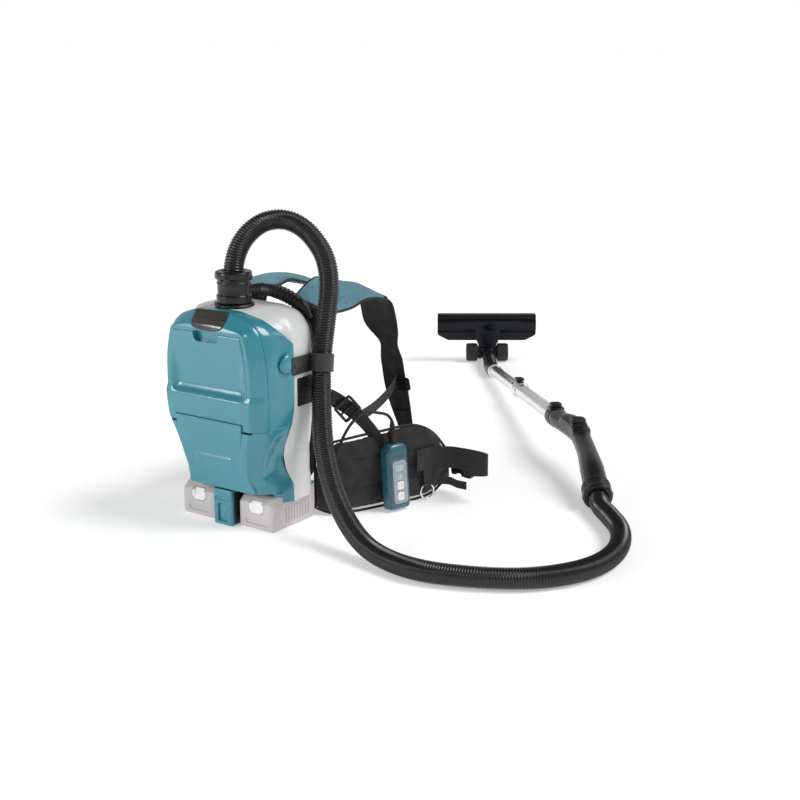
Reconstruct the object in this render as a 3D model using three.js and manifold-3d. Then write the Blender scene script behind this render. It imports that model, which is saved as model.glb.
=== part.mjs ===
// Backpack vacuum cleaner: battery-powered unit on a harness, with hose, telescopic wand and floor nozzle.
// Millimetres, +Z up. The origin is on the floor under the battery post, on the unit's plane of symmetry.
// The opening cover faces -Y and the wearer stands at +Y. "l" is the -X side and "r" is the +X side.
import * as THREE from 'three';
import { mergeVertices } from 'three/addons/utils/BufferGeometryUtils.js';
import Module from 'manifold-3d';

const wasm = await Module();
wasm.setup();

// ---------------------------------------------------------------- driving dimensions

const GAP = 0.3;                 // running gap between neighbouring pieces
const WALL = 3;                  // moulded casing wall
const CASE_BACK = 76;            // y of the case's flat back
const SIDE_START = -38;          // y where the front case's side panel starts
const BAY_CEILING = 66;          // underside of the case over the battery bay
const SEAM_Y = -52;              // plane of the seam between dust cover and front case
const LATCH_END = -54;           // rear edge of the cover's latch, where it pivots
const TONGUE_TOP = 193;          // top of the front case's tongue below the cover
const COVER_FOOT = 182;          // lowest edge of the cover, beside the tongue
const COVER_AXIS = { y: -76, z: 181 };
const HINGE = { pin: 1.4, bore: 1.8, lug: 3, barrel: 3.2, relief: 3.9 };

const INLET = { x: 0, y: -4 };   // axis of the suction inlet on the top of the case
const HOSE_RADIUS = 17;
const HOSE_WALL = 2.5;

const PACK = { inner: 27, outer: 102, front: -38, back: 76, top: 60 };
const POST_HALF_WIDTH = 20.5;

const MOTOR = { x: 0, y: 5, bottom: 76, top: 160, radius: 44 };

const PIPE_JOINT = new THREE.Vector3(241, 674, 69.6);    // mouth of the wand handle
const PIPE_STEP = new THREE.Vector3(13, 925.8, 40.6);    // end of the outer pipe
const PIPE_END = new THREE.Vector3(-180, 1139, 16);      // end of the inner pipe
const OUTER_PIPE_RADIUS = 16;
const INNER_PIPE_RADIUS = 13.3;

const NOZZLE = { x: -280, y: 1274, z: 23, turn: 34.75 }; // wheel axle centre and heading in degrees
const WHEEL_RADIUS = 23;

const HOSE_END = new THREE.Vector3(479, 398, 28.5);       // where hose and wand handle meet
const HOSE_END_AXIS = new THREE.Vector3(-0.55, 0.79, 0.28).normalize();

const REMOTE = { x: 197, y: 186, z: 3.5, turn: 75.35, lean: 5, width: 47, depth: 26, height: 116 };

// The case as a cage of rows from the top edge down to the skirt: the row's height at the front, side and
// rear, then its half widths from the front face back, then the front face's y.
const CASE_ROWS = [
  [353, 371, 373, 38, 40, 42, 44, 56, -74],
  [350, 359, 366, 62, 72, 80, 82, 86, -75],
  [342, 346, 352, 76, 87, 94, 97, 103, -76],
  [324, 327, 331, 82, 96, 103, 106, 113, -76],
  [290, 290, 290, 88, 103.5, 109.5, 112, 115, -76],
  [242, 242, 242, 90, 107, 112, 114.5, 115, -75],
  [230, 230, 230, 90, 107.5, 112, 114.5, 115, -79],
  [192, 192, 192, 87, 107, 112, 114.5, 114, -77],
  [155, 155, 155, 76, 94, 107, 108, 111, -71],
  [125, 125, 125, 69, 82, 95, 100, 107, -66],
  [92, 92, 92, 65, 76, 87, 100, 107, -58],
  [70, 70, 70, 72, 79, 86, 105, 110, -51],
  [48, 48, 48, 72, 79, 86, 106, 111, -49],
].map(([zFront, zSide, zRear, front, flank, side, mid, rear, face]) => (
  { zFront, zSide, zRear, front, flank, side, mid, rear, face }));

const BRACE_PLATE = { halfWidth: 98, bottom: 64, top: 350, thickness: 3 };

// ---------------------------------------------------------------- geometry helpers

const v = (x, y, z) => new THREE.Vector3(x, y, z);
const points = (list) => list.map(([x, y, z]) => v(x, y, z));
const lerp = THREE.MathUtils.lerp;
const radians = THREE.MathUtils.degToRad;

/** Position-only geometry with its shared vertices merged. */
function bare(geometry) {
  const copy = geometry.clone();
  copy.deleteAttribute('normal');
  copy.deleteAttribute('uv');
  return mergeVertices(copy, 1e-3);
}

/** Closed surface from points and triangles, turned so that its faces point out. */
function closedSurface(corners, triangles) {
  let volume = 0;
  for (let i = 0; i < triangles.length; i += 3) {
    const [a, b, c] = [corners[triangles[i]], corners[triangles[i + 1]], corners[triangles[i + 2]]];
    volume += a.dot(b.clone().cross(c));
  }
  const faces = volume < 0 ? [...triangles].reverse() : triangles;
  const geometry = new THREE.BufferGeometry();
  const coordinates = corners.flatMap((p) => [p.x, p.y, p.z]);
  geometry.setAttribute('position', new THREE.Float32BufferAttribute(coordinates, 3));
  geometry.setIndex(faces);
  return geometry;
}

/** Closed surface again, after a transform that may have mirrored it. */
function faceOut(geometry) {
  const { position } = geometry.attributes;
  const corner = (_, i) => new THREE.Vector3().fromBufferAttribute(position, i);
  const corners = Array.from({ length: position.count }, corner);
  return closedSurface(corners, Array.from(geometry.index.array));
}

function toSolid(geometry) {
  const shape = bare(geometry);
  return new wasm.Manifold(new wasm.Mesh({
    numProp: 3,
    vertProperties: new Float32Array(shape.attributes.position.array),
    triVerts: new Uint32Array(shape.index.array),
  }));
}

function toGeometry(solid) {
  const mesh = solid.getMesh();
  const geometry = new THREE.BufferGeometry();
  geometry.setAttribute('position', new THREE.BufferAttribute(mesh.vertProperties, 3));
  geometry.setIndex(new THREE.BufferAttribute(mesh.triVerts, 1));
  return geometry;
}

const combine = (how) => (first, ...rest) => (
  toGeometry(rest.reduce((sum, next) => sum[how](toSolid(next)), toSolid(first)))
);
const fuse = combine('add');
const cut = combine('subtract');
const common = combine('intersect');

const mirrored = (geometry) => faceOut(bare(geometry).applyMatrix4(new THREE.Matrix4().makeScale(-1, 1, 1)));

function block(x0, x1, y0, y1, z0, z1) {
  const box = new THREE.BoxGeometry(x1 - x0, y1 - y0, z1 - z0);
  return box.translate((x0 + x1) / 2, (y0 + y1) / 2, (z0 + z1) / 2);
}

function roundedRect(width, height, radius, cx = 0, cy = 0) {
  const shape = new THREE.Shape();
  const x = cx + width / 2 - radius;
  const y = cy + height / 2 - radius;
  shape.absarc(x, y, radius, 0, Math.PI / 2);
  shape.absarc(x - width + 2 * radius, y, radius, Math.PI / 2, Math.PI);
  shape.absarc(x - width + 2 * radius, y - height + 2 * radius, radius, Math.PI, Math.PI * 1.5);
  shape.absarc(x, y - height + 2 * radius, radius, Math.PI * 1.5, Math.PI * 2);
  return shape;
}

const polygon = (corners) => new THREE.Shape(corners.map(([a, b]) => new THREE.Vector2(a, b)));

/** Outline extruded along one axis: (y, z) along x, (x, z) along y or (x, y) along z. */
function prism(axis, outline, from, to) {
  const shape = Array.isArray(outline) ? polygon(outline) : outline;
  const options = { depth: to - from, bevelEnabled: false, curveSegments: 4 };
  const geometry = new THREE.ExtrudeGeometry(shape, options);
  const frames = {
    x: [v(0, 1, 0), v(0, 0, 1), v(1, 0, 0), v(from, 0, 0)],
    y: [v(1, 0, 0), v(0, 0, 1), v(0, -1, 0), v(0, to, 0)],
    z: [v(1, 0, 0), v(0, 1, 0), v(0, 0, 1), v(0, 0, from)],
  };
  const [u, w, depth, origin] = frames[axis];
  return geometry.applyMatrix4(new THREE.Matrix4().makeBasis(u, w, depth).setPosition(origin));
}

/** Profile of [radius, height] turned about +Z. */
function turned(profile, segments = 16) {
  const outline = profile.map(([radius, height]) => new THREE.Vector2(radius, height));
  const geometry = new THREE.LatheGeometry(outline, segments).rotateX(Math.PI / 2);
  return faceOut(bare(geometry));
}

/** Profile of a straight sleeve: a closed ring section. */
const sleeve = (outer, inner, bottom, top) => [
  [outer, bottom], [outer, top], [inner, top], [inner, bottom], [outer, bottom],
];

const rod = (radius, bottom, top) => [[0, bottom], [radius, bottom], [radius, top], [0, top]];

/** Geometry made along +Z, stood on a point and aimed along a direction. */
function aimed(geometry, start, direction) {
  const turn = new THREE.Quaternion().setFromUnitVectors(v(0, 0, 1), direction.clone().normalize());
  return geometry.applyQuaternion(turn).translate(start.x, start.y, start.z);
}

const alongX = (geometry, x, y, z) => aimed(geometry, v(x, y, z), v(1, 0, 0));

/** Surface through rings of equal length; its ends are capped, or joined when it closes on itself. */
function loft(rings, { loop = false, cap = 'fan' } = {}) {
  const size = rings[0].length;
  const triangles = [];
  const quad = (a, b, c, d) => triangles.push(a, b, c, a, c, d);
  const count = loop ? rings.length : rings.length - 1;
  for (let i = 0; i < count; i += 1) {
    const next = (i + 1) % rings.length;
    for (let j = 0; j < size; j += 1) {
      const k = (j + 1) % size;
      quad(i * size + j, i * size + k, next * size + k, next * size + j);
    }
  }
  const capEnd = (offset, flip) => {
    for (let j = 1; j < size - 1; j += 1) {
      // A strip cap joins each point to its opposite number, so every line of it stays level.
      const strip = j < size / 2 ? [j - 1, j, size - j] : [j, j + 1, size - j - 1];
      const [a, b, c] = cap === 'strip' ? strip : [0, j, j + 1];
      triangles.push(offset + a, offset + (flip ? c : b), offset + (flip ? b : c));
    }
  };
  if (!loop) {
    capEnd(0, true);
    capEnd((rings.length - 1) * size, false);
  }
  return closedSurface(rings.flat(), triangles);
}

/** Hollow round pipe along a smooth curve, with a radius that changes from point to point. */
function pipe(path, radii, wall, steps, sides) {
  const curve = new THREE.CatmullRomCurve3(path, false, 'centripetal');
  const frames = curve.computeFrenetFrames(steps, false);
  const radiusAt = (t) => {
    const place = t * (radii.length - 1);
    const index = Math.min(Math.floor(place), radii.length - 2);
    return lerp(radii[index], radii[index + 1], place - index);
  };
  const ring = (step, thinner) => {
    const centre = curve.getPointAt(step / steps);
    const radius = radiusAt(step / steps) - thinner;
    return Array.from({ length: sides }, (_, i) => {
      const angle = (2 * Math.PI * i) / sides;
      return centre.clone()
        .addScaledVector(frames.normals[step], radius * Math.cos(angle))
        .addScaledVector(frames.binormals[step], radius * Math.sin(angle));
    });
  };
  const rings = [];
  for (let i = 0; i <= steps; i += 1) rings.push(ring(i, 0));
  if (wall === 0) return loft(rings);
  for (let i = steps; i >= 0; i -= 1) rings.push(ring(i, wall));
  return loft(rings, { loop: true });
}

/** Band between two smooth edges, from one depth to another along its own normal. */
function ribbon(firstEdge, secondEdge, near, far, steps) {
  const first = new THREE.CatmullRomCurve3(points(firstEdge), false, 'centripetal');
  const second = new THREE.CatmullRomCurve3(points(secondEdge), false, 'centripetal');
  const rings = [];
  for (let i = 0; i <= steps; i += 1) {
    const t = i / steps;
    const a = first.getPoint(t);
    const b = second.getPoint(t);
    const tangent = first.getTangent(t).add(second.getTangent(t));
    const normal = b.clone().sub(a).cross(tangent).normalize();
    rings.push([
      a.clone().addScaledVector(normal, near),
      b.clone().addScaledVector(normal, near),
      b.clone().addScaledVector(normal, far),
      a.clone().addScaledVector(normal, far),
    ]);
  }
  return loft(rings);
}

// ---------------------------------------------------------------- finishes

const finish = (color, roughness, metalness = 0) => ({ color, roughness, metalness });
const TEAL = finish(0x2f8796, 0.32);
const WHITE = finish(0xdfe2e1, 0.35);
const BLACK = finish(0x26282b, 0.5);
const DARK_GREY = finish(0x3f4144, 0.55);
const SMOKE = finish(0x4a4644, 0.45);
const PALE = finish(0xc9c6c6, 0.5);
const RUBBER = finish(0x1c1d1f, 0.8);
const FABRIC = finish(0x2e2f31, 0.9);
const TEAL_FABRIC = finish(0x4c7f92, 0.85);
const STEEL = finish(0xb9bcc0, 0.3, 1);
const CHROME = finish(0xd5d7da, 0.15, 1);
const PAPER = finish(0xd9cfb8, 0.95);
const CIRCUIT = finish(0x2c5c3a, 0.6);

const unit = new THREE.Group();

function addPart(name, geometry, look, parent = unit) {
  const mesh = new THREE.Mesh(bare(geometry), new THREE.MeshStandardMaterial(look));
  mesh.name = name;
  parent.add(mesh);
  return mesh;
}

/** The same piece on both sides, named with _r as drawn and _l when mirrored. */
function addPair(name, geometry, look) {
  addPart(`${name}_r`, geometry, look);
  addPart(`${name}_l`, mirrored(geometry), look);
}

// ---------------------------------------------------------------- casing

/** Rings of the case from its front face to its back, `inset` inside the outer surface. */
function caseRings(rows, inset) {
  const lower = (z) => z - inset * THREE.MathUtils.clamp((z - 325) / 45, 0, 1);
  const stations = [
    (row) => v(row.front - inset / 2, row.face + inset, lower(row.zFront)),
    (row) => v(lerp(row.front, row.flank, 0.38) - inset * 0.8, row.face + 6 + inset * 0.6,
      lower(lerp(row.zFront, row.zSide, 0.5))),
    (row) => v(row.flank - inset, (row.face + SIDE_START) / 2, lower(row.zSide)),
    (row) => v(row.side - inset, SIDE_START, lower(row.zSide)),
    (row) => v(row.mid - inset, -4, lower(row.zSide + 0.5)),
    (row) => v(row.rear - inset, 8, lower(row.zRear)),
    (row) => v(row.rear - inset, 44, lower(row.zRear)),
    (row) => v(row.rear - 9 - inset, 66 - inset / 2, lower(row.zRear) - (row.zRear > 340 ? 4 : 0)),
    (row) => v(row.rear - 32 - inset, CASE_BACK - inset, lower(row.zRear) - (row.zRear > 340 ? 14 : 0)),
  ];
  return stations.map((station) => {
    const right = rows.map(station);
    const left = right.map((p) => v(-p.x, p.y, p.z)).reverse();
    return [...right, ...left];
  });
}

/** Everything in front of the seam, down to the tongue, with `gap` added all round. */
function coverRegion(gap) {
  const front = prism('x', [
    [-110, 400], [SEAM_Y + gap, 400], [SEAM_Y + gap, 237], [-56 + gap, 200], [-64 + gap, COVER_FOOT - gap],
    [-110, COVER_FOOT - gap],
  ], -130, 130);
  const tongue = block(-69.5 + gap, 69.5 - gap, -110, -40, 150, TONGUE_TOP + 1 - gap);
  return cut(front, tongue);
}

const BAY_FLOOR = BAY_CEILING + 4;
const floorRow = { ...CASE_ROWS[11], zFront: BAY_FLOOR, zSide: BAY_FLOOR, zRear: BAY_FLOOR };
const innerRows = [...CASE_ROWS.slice(0, 11), floorRow];
const caseOuter = loft(caseRings(CASE_ROWS, 0), { cap: 'strip' });
const caseInner = loft(caseRings(innerRows, WALL), { cap: 'strip' });
const batteryBay = fuse(
  block(-104, 104, -100, 100, 30, BAY_CEILING),
  block(-130, 130, -100, -25, 30, BAY_CEILING),
);
const caseShell = cut(caseOuter, caseInner, batteryBay);

/** Outline, in y and z, of the rear half: the border between the teal and the white casing. */
const borderY = (gap) => [
  [-34, 400], [-34, 372], [-11, 339], [4, 318], [2, 251], [0, 183], [-8, 150], [-2, 105], [8, 78], [6, 30],
].map(([y, z]) => [y + gap, z]);

const rearRegion = prism('x', [...borderY(0), [120, 30], [120, 400]], -130, 130);
const frontRegion = prism('x', [...borderY(-GAP), [-120, 30], [-120, 400]], -130, 130);

const VENT = { y0: 20, y1: 54, z0: 212, z1: 258 };
const ventHole = block(100, 130, VENT.y0, VENT.y1, VENT.z0, VENT.z1);

function rearCase() {
  const inletHole = turned(rod(23, 340, 400)).translate(INLET.x, INLET.y, 0);
  return cut(common(caseShell, rearRegion), inletHole, ventHole, mirrored(ventHole));
}

/** Frame behind the cover: its outline follows the case, `inset` in from the side. */
function openingOutline(inset) {
  const rows = CASE_ROWS.slice(0, 7);
  const right = rows.map((row) => [row.flank - inset, row.zSide - inset]);
  right[right.length - 1][1] = TONGUE_TOP + 4 + inset;
  return [...right, ...right.map(([x, z]) => [-x, z]).reverse()];
}

function openingFrame(outer, inner, y0, y1) {
  const hole = prism('y', openingOutline(inner), y0 - 1, y1 + 1);
  return cut(prism('y', openingOutline(outer), y0, y1), hole);
}

const hingeBore = alongX(turned(rod(HINGE.bore, 0, 240), 16), -120, COVER_AXIS.y, COVER_AXIS.z);

function frontCase() {
  const hingeRelief = [-1, 1].map((side) => (
    alongX(turned(rod(HINGE.relief, 0, 8.2), 16), side > 0 ? 69.8 : -78, COVER_AXIS.y, COVER_AXIS.z)
  ));
  const rim = openingFrame(2, 12, SEAM_Y + 7, SEAM_Y + 10);
  const lug = (x) => alongX(turned(rod(HINGE.lug, 0, 6), 16), x, COVER_AXIS.y, COVER_AXIS.z);
  const shell = cut(common(caseShell, frontRegion), coverRegion(GAP), ...hingeRelief);
  return cut(fuse(shell, common(rim, caseOuter), lug(62.5), lug(-68.5)), hingeBore);
}

function dustCover() {
  const shell = common(cut(caseOuter, caseInner), coverRegion(0));
  const barrel = (x) => alongX(turned(rod(HINGE.barrel, 0, 7), 16), x, COVER_AXIS.y, COVER_AXIS.z);
  // The latch lies in a notch through the top edge, with a finger recess below it.
  const latchNotch = block(-36.5, 36.5, -90, LATCH_END + GAP, 341.5, 380);
  const latchFloor = common(
    block(-40, 40, -90, SEAM_Y, 336, 371),
    cut(caseInner, loft(caseRings(innerRows, WALL + 4), { cap: 'strip' })),
  );
  const recess = { halfWidth: 26, bottom: 324, top: 338, depth: 9 };
  const pocket = block(-recess.halfWidth - 2, recess.halfWidth + 2, -76, -76 + recess.depth + 2,
    recess.bottom - 2, recess.top + 2);
  const pocketHole = block(-recess.halfWidth, recess.halfWidth, -90, -76 + recess.depth,
    recess.bottom, recess.top);
  const notched = cut(shell, latchNotch);
  const pocketWall = common(pocket, caseOuter);
  return cut(fuse(notched, latchFloor, pocketWall, barrel(70.3), barrel(-77.3)), hingeBore, pocketHole);
}

function coverLatch() {
  const blank = block(-36, 36, -90, LATCH_END, 342, 380);
  const lining = loft(caseRings(innerRows, WALL - GAP), { cap: 'strip' });
  return common(blank, cut(caseOuter, lining));
}

addPart('rear_case', rearCase(), WHITE);
addPart('front_case', frontCase(), TEAL);
addPart('dust_cover', dustCover(), TEAL);
addPart('cover_latch', coverLatch(), SMOKE);
addPart('cover_hinge_pin', alongX(turned(rod(HINGE.pin, 0, 154), 12), -77, COVER_AXIS.y, COVER_AXIS.z), STEEL);
addPart('cover_gasket', openingFrame(5, 10, SEAM_Y + 3.5, SEAM_Y + 7 - GAP), RUBBER);

function sideVent() {
  const plate = block(111, 114, VENT.y0 + GAP, VENT.y1 - GAP, VENT.z0 + GAP, VENT.z1 - GAP);
  const slots = [217, 225, 233, 241, 249].map((z) => block(108, 118, VENT.y0 + 4, VENT.y1 - 4, z, z + 4));
  return cut(plate, ...slots);
}
addPair('side_vent', sideVent(), BLACK);

// ---------------------------------------------------------------- batteries and their mount

function batteryMount() {
  const post = prism('z', roundedRect(2 * POST_HALF_WIDTH, 122, 4, 0, 11), 0, PACK.top + 3);
  const roof = block(-103, 103, -20, 74, PACK.top + 1, BAY_CEILING - GAP);
  const frontRecess = block(-9, 9, -60, -46.5, 6, 36);
  return cut(fuse(post, roof), frontRecess);
}

const BUTTON = { centre: 64.5, halfWidth: 15, bottom: 34, top: 50, back: -25 };

function batteryPack() {
  const side = prism('x', [
    [-34, 0], [PACK.back, 0], [PACK.back, PACK.top], [-22, PACK.top], [PACK.front, 46], [PACK.front, 4],
  ], PACK.inner, PACK.outer);
  const frontOutline = roundedRect(PACK.outer - PACK.inner, PACK.top, 6, BUTTON.centre, PACK.top / 2);
  const front = prism('y', frontOutline, PACK.front - 5, PACK.back + 5);
  const pocket = block(BUTTON.centre - BUTTON.halfWidth, BUTTON.centre + BUTTON.halfWidth,
    -60, BUTTON.back, BUTTON.bottom, BUTTON.top);
  return cut(common(side, front), pocket);
}

const packButton = block(BUTTON.centre - BUTTON.halfWidth + GAP, BUTTON.centre + BUTTON.halfWidth - GAP,
  PACK.front + 1.5, BUTTON.back - 3, BUTTON.bottom + GAP, BUTTON.top - GAP);

addPart('battery_mount', batteryMount(), TEAL);
addPair('battery_pack', batteryPack(), PALE);
addPair('battery_button', packButton, WHITE);

// ---------------------------------------------------------------- inlet, cuff, handle and hose strap

const inletProfile = [
  [20, 338], [22, 338], [22, 374], [31, 374], [31, 378], [24, 378], [24, 392], [20, 392], [20, 338],
];
addPart('inlet_port', turned(inletProfile).translate(INLET.x, INLET.y, 0), BLACK);

const cuffProfile = [
  [25.2, 378.5], [29, 378.5], [29, 385], [27.6, 387], [27.6, 414], [28.5, 418], [30.5, 421], [30.5, 428],
  [29, 431], [18.2, 431], [18.2, 396], [25.2, 393], [25.2, 378.5],
];
addPart('swivel_cuff', turned(cuffProfile).translate(INLET.x, INLET.y, 0), BLACK);

const HANDLE_ARCH = [
  [-88, 86, 346], [-76, 86, 366], [-40, 86, 384], [0, 86, 391], [40, 86, 384], [76, 86, 366], [88, 86, 346],
];
addPart('carry_handle', pipe(points(HANDLE_ARCH), [6, 9, 9.5, 9, 6], 0, 14, 8), BLACK);

const STRAP_SPOT = v(133.4, 58, 281);
const STRAP_AXIS = v(-0.103, 0.225, 0.969).normalize();

function hoseStrap() {
  const band = aimed(turned(sleeve(21, 18, -15, 15)), STRAP_SPOT, STRAP_AXIS);
  const tab = block(117, 120, -2, 56, 267, 297);
  const clear = aimed(turned(rod(18, -30, 30)), STRAP_SPOT, STRAP_AXIS);
  return cut(fuse(band, tab), clear);
}
addPart('hose_strap', hoseStrap(), DARK_GREY);

const hookDome = new THREE.SphereGeometry(1, 16, 12).scale(9, 24, 18).translate(114, -5, 288);
addPart('strap_hook', common(hookDome, block(116, 130, -40, -5, 260, 320)), TEAL);

// ---------------------------------------------------------------- inside the case

function bagHolder() {
  const plate = prism('z', roundedRect(150, 84, 10, 0, -3), 332, 335);
  return cut(plate, turned(rod(23.5, 320, 345)).translate(INLET.x, INLET.y, 0));
}
addPart('bag_holder', bagHolder(), DARK_GREY);

const bagSections = [[180, 30, 12], [200, 62, 24], [255, 76, 32], [305, 74, 32], [328, 52, 22]];
const dustBag = loft(bagSections.map(([z, halfWidth, halfDepth]) => (
  Array.from({ length: 16 }, (_, i) => {
    const angle = (Math.PI * i) / 8;
    return v(halfWidth * Math.cos(angle), -14 + halfDepth * Math.sin(angle), z);
  }))));
addPart('dust_bag', dustBag, PAPER);

function hepaFilter() {
  const frame = block(-84, 84, 26, 52, 190, 322);
  const pleats = Array.from({ length: 12 }, (_, i) => prism('z', [
    [-78 + 13 * i, 24], [-67 + 13 * i, 24], [-72.5 + 13 * i, 46],
  ], 196, 316));
  return cut(frame, ...pleats);
}
addPart('hepa_filter', hepaFilter(), PAPER);

const motorHousing = turned([
  [14, MOTOR.top], [MOTOR.radius, MOTOR.top], [MOTOR.radius, MOTOR.top - 28], [30, MOTOR.top - 32],
  [30, MOTOR.bottom], [24, MOTOR.bottom], [24, MOTOR.top - 36], [MOTOR.radius - WALL, MOTOR.top - 26],
  [MOTOR.radius - WALL, MOTOR.top - WALL], [14, MOTOR.top - WALL], [14, MOTOR.top],
], 14).translate(MOTOR.x, MOTOR.y, 0);
addPart('motor_housing', motorHousing, DARK_GREY);

const rotor = turned([
  [0, 80], [4, 80], [4, 92], [17, 92], [17, 118], [4, 118], [4, 150], [0, 150],
], 12).translate(MOTOR.x, MOTOR.y, 0);
addPart('motor_rotor', rotor, STEEL);

function fanImpeller() {
  const disc = turned(sleeve(36, 4.4, 136, 138), 12);
  const hub = turned(sleeve(9, 4.4, 136, 150), 12);
  const blades = Array.from({ length: 6 }, (_, i) => (
    block(8, 35, -1, 1, 137, 150).rotateZ((Math.PI * i) / 3)
  ));
  return fuse(disc, hub, ...blades).translate(MOTOR.x, MOTOR.y, 0);
}
addPart('fan_impeller', fanImpeller(), PALE);
addPart('control_board', block(-60, 60, 63, 65, 88, 168), CIRCUIT);

// ---------------------------------------------------------------- hose

const HOSE_PATH = points([
  [0, -4, 397], [0, -4, 431], [1, 4, 458], [6, 17, 481], [15, 31, 497], [28, 45, 508], [46, 61, 512],
  [64, 73, 508], [82, 83, 496], [98, 90, 478], [112, 94, 456], [121, 94, 431], [127, 89, 396],
  [130, 76, 350], [133.4, 58, 281], [149, 37, 194], [162, 24, 153], [183, 9, 114], [211, -8, 78],
  [251, -28, 46], [300, -48, 25], [352, -62, 17.5], [418, -70, 17], [481, -54, 17], [543, -24, 17],
  [586, 12, 17], [618, 62, 17], [631, 110, 17], [629, 165, 17], [612, 222, 17], [583, 275, 17],
  [542, 322, 17],
]);
const hoseEnd = [60, 34, 16, 3].map((back) => HOSE_END.clone().addScaledVector(HOSE_END_AXIS, -back));
hoseEnd[0].set(512, 352, 18);
addPart('hose', pipe([...HOSE_PATH, ...hoseEnd], [HOSE_RADIUS, HOSE_RADIUS], HOSE_WALL, 66, 8), RUBBER);

// ---------------------------------------------------------------- harness

function bracePlate() {
  const height = BRACE_PLATE.top - BRACE_PLATE.bottom;
  const outline = roundedRect(2 * BRACE_PLATE.halfWidth, height, 24, 0, BRACE_PLATE.bottom + height / 2);
  return prism('y', outline, CASE_BACK + GAP, CASE_BACK + GAP + BRACE_PLATE.thickness);
}
addPart('back_plate', bracePlate(), BLACK);
addPart('back_pad', prism('y', roundedRect(150, 200, 26, 0, 222), 80, 96), FABRIC);

// Shoulder straps as [inner edge, outer edge]: up from the pad, over the shoulder and down in front of it.
const STRAP_R = [
  [[28, 100, 300], [30, 103, 345], [32, 114, 372], [32, 150, 392], [30, 180, 400], [30, 205, 396],
    [31, 250, 384], [33, 300, 369], [34, 312, 330], [40, 315, 300], [66, 318, 267], [72, 319, 246],
    [86, 320, 174], [116, 320, 104]],
  [[86, 100, 300], [88, 102, 335], [90, 110, 358], [91, 150, 350], [92, 200, 350], [94, 245, 360],
    [100, 292, 353], [100, 312, 340], [113, 318, 267], [117, 319, 245], [122, 320, 210], [127, 320, 190],
    [133, 320, 160], [141, 320, 110]],
];
const STRAP_L = [
  [[-28, 100, 300], [-29, 102, 360], [-30, 118, 384], [-30, 150, 388], [-30, 180, 393], [-31, 210, 386],
    [-32, 255, 373], [-34, 298, 358], [-38, 314, 322], [-52, 318, 280], [-74, 319, 235], [-90, 320, 170],
    [-116, 320, 104]],
  [[-86, 100, 300], [-88, 104, 358], [-89, 120, 388], [-90, 150, 394], [-90, 185, 395], [-90, 220, 392],
    [-92, 262, 384], [-97, 304, 368], [-104, 322, 330], [-113, 322, 280], [-120, 321, 220], [-130, 320, 165],
    [-141, 320, 110]],
];
addPart('shoulder_strap_r', ribbon(...STRAP_R, -11, 0, 26), TEAL_FABRIC);
addPart('shoulder_strap_l', ribbon(...STRAP_L, 0, 11, 26), TEAL_FABRIC);

const WEB_UPPER = [[100, 82, 230], [116, 112, 220], [141, 146, 188], [163, 172, 148]];
const WEB_LOWER = [[100, 82, 200], [111, 112, 190], [126, 146, 164], [141, 166, 138]];
addPair('lower_webbing', ribbon(WEB_UPPER, WEB_LOWER, -1, 1, 10), FABRIC);

function strapAdjuster() {
  const slots = [-11, 3].map((y) => block(-14, 14, y, y + 8, -9, 9));
  const frame = cut(prism('z', roundedRect(38, 34, 4), -2.5, 2.5), ...slots);
  return frame.rotateX(radians(90)).rotateY(radians(-40)).rotateZ(radians(52)).translate(134, 128, 186);
}
addPair('strap_adjuster', strapAdjuster(), BLACK);

const BELT_BOTTOM = [
  [92, 84, 8], [122, 92, 3], [149, 127, 1.5], [173, 183, 1.5], [201, 250, 1.5], [213, 286, 8], [221, 322, 30],
];
const BELT_TOP = [
  [92, 84, 118], [120, 94, 128], [144, 129, 134], [165, 186, 136], [194, 251, 137], [209, 287, 118],
  [219, 322, 78],
];
addPair('waist_belt', ribbon(BELT_BOTTOM, BELT_TOP, 0, 14, 16), FABRIC);

// Belt webbing: out along the wing's face, round a loop and back lower down to the buckle.
const LOOP_PATH = [
  [204, 238, 76], [218, 272, 77], [240, 287, 78], [268, 292, 78], [298, 294, 77], [311, 299, 74],
  [306, 310, 68], [290, 315, 63], [268, 315, 60], [252, 314, 58],
];
const atHeight = (rise) => LOOP_PATH.map(([x, y, z]) => [x, y, z + rise]);
addPair('belt_webbing', ribbon(atHeight(-20), atHeight(20), -1, 1, 20), FABRIC);

const BUCKLE = { x: 243, y: 328, z: 56, turn: 178, length: 44, width: 50, thickness: 12 };
const buckleOutline = roundedRect(BUCKLE.length, BUCKLE.width, 6);
const buckleBlank = prism('y', buckleOutline, -BUCKLE.thickness / 2, BUCKLE.thickness / 2);

function placeBuckle(geometry) {
  return geometry.rotateZ(radians(BUCKLE.turn)).translate(BUCKLE.x, BUCKLE.y, BUCKLE.z);
}

/** Female half: a flat box with its mouth at the free end and a bar for the webbing. */
function buckleSocket() {
  const mouth = block(-4, 30, -3.6, 3.6, -21, 21);
  const webSlot = block(-18, -14, -9, 9, -23.5, 23.5);
  return placeBuckle(cut(buckleBlank, mouth, webSlot));
}

/** Male half: base with a webbing bar, two side prongs and a centre guide. */
function bucklePlug() {
  const base = common(buckleBlank, block(-30, -4, -4, 4, -40, 40));
  const prongs = [-17, -1.5, 14].map((z) => block(-5, 20, -2.8, 2.8, z, z + 3));
  const webSlot = block(-18, -14, -9, 9, -23.5, 23.5);
  return mirrored(placeBuckle(cut(fuse(base, ...prongs), webSlot)));
}
addPart('buckle_socket', buckleSocket(), BLACK);
addPart('buckle_plug', bucklePlug(), BLACK);

const RING = { x: 211.5, y: 259.5, z: 16.5, turn: 66, radius: 13.5, wire: 1.6 };
const ringShape = new THREE.TorusGeometry(RING.radius, RING.wire, 6, 18).rotateX(radians(90));
addPart('belt_ring', ringShape.rotateZ(radians(RING.turn)).translate(RING.x, RING.y, RING.z), CHROME);

// ---------------------------------------------------------------- remote control

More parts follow.
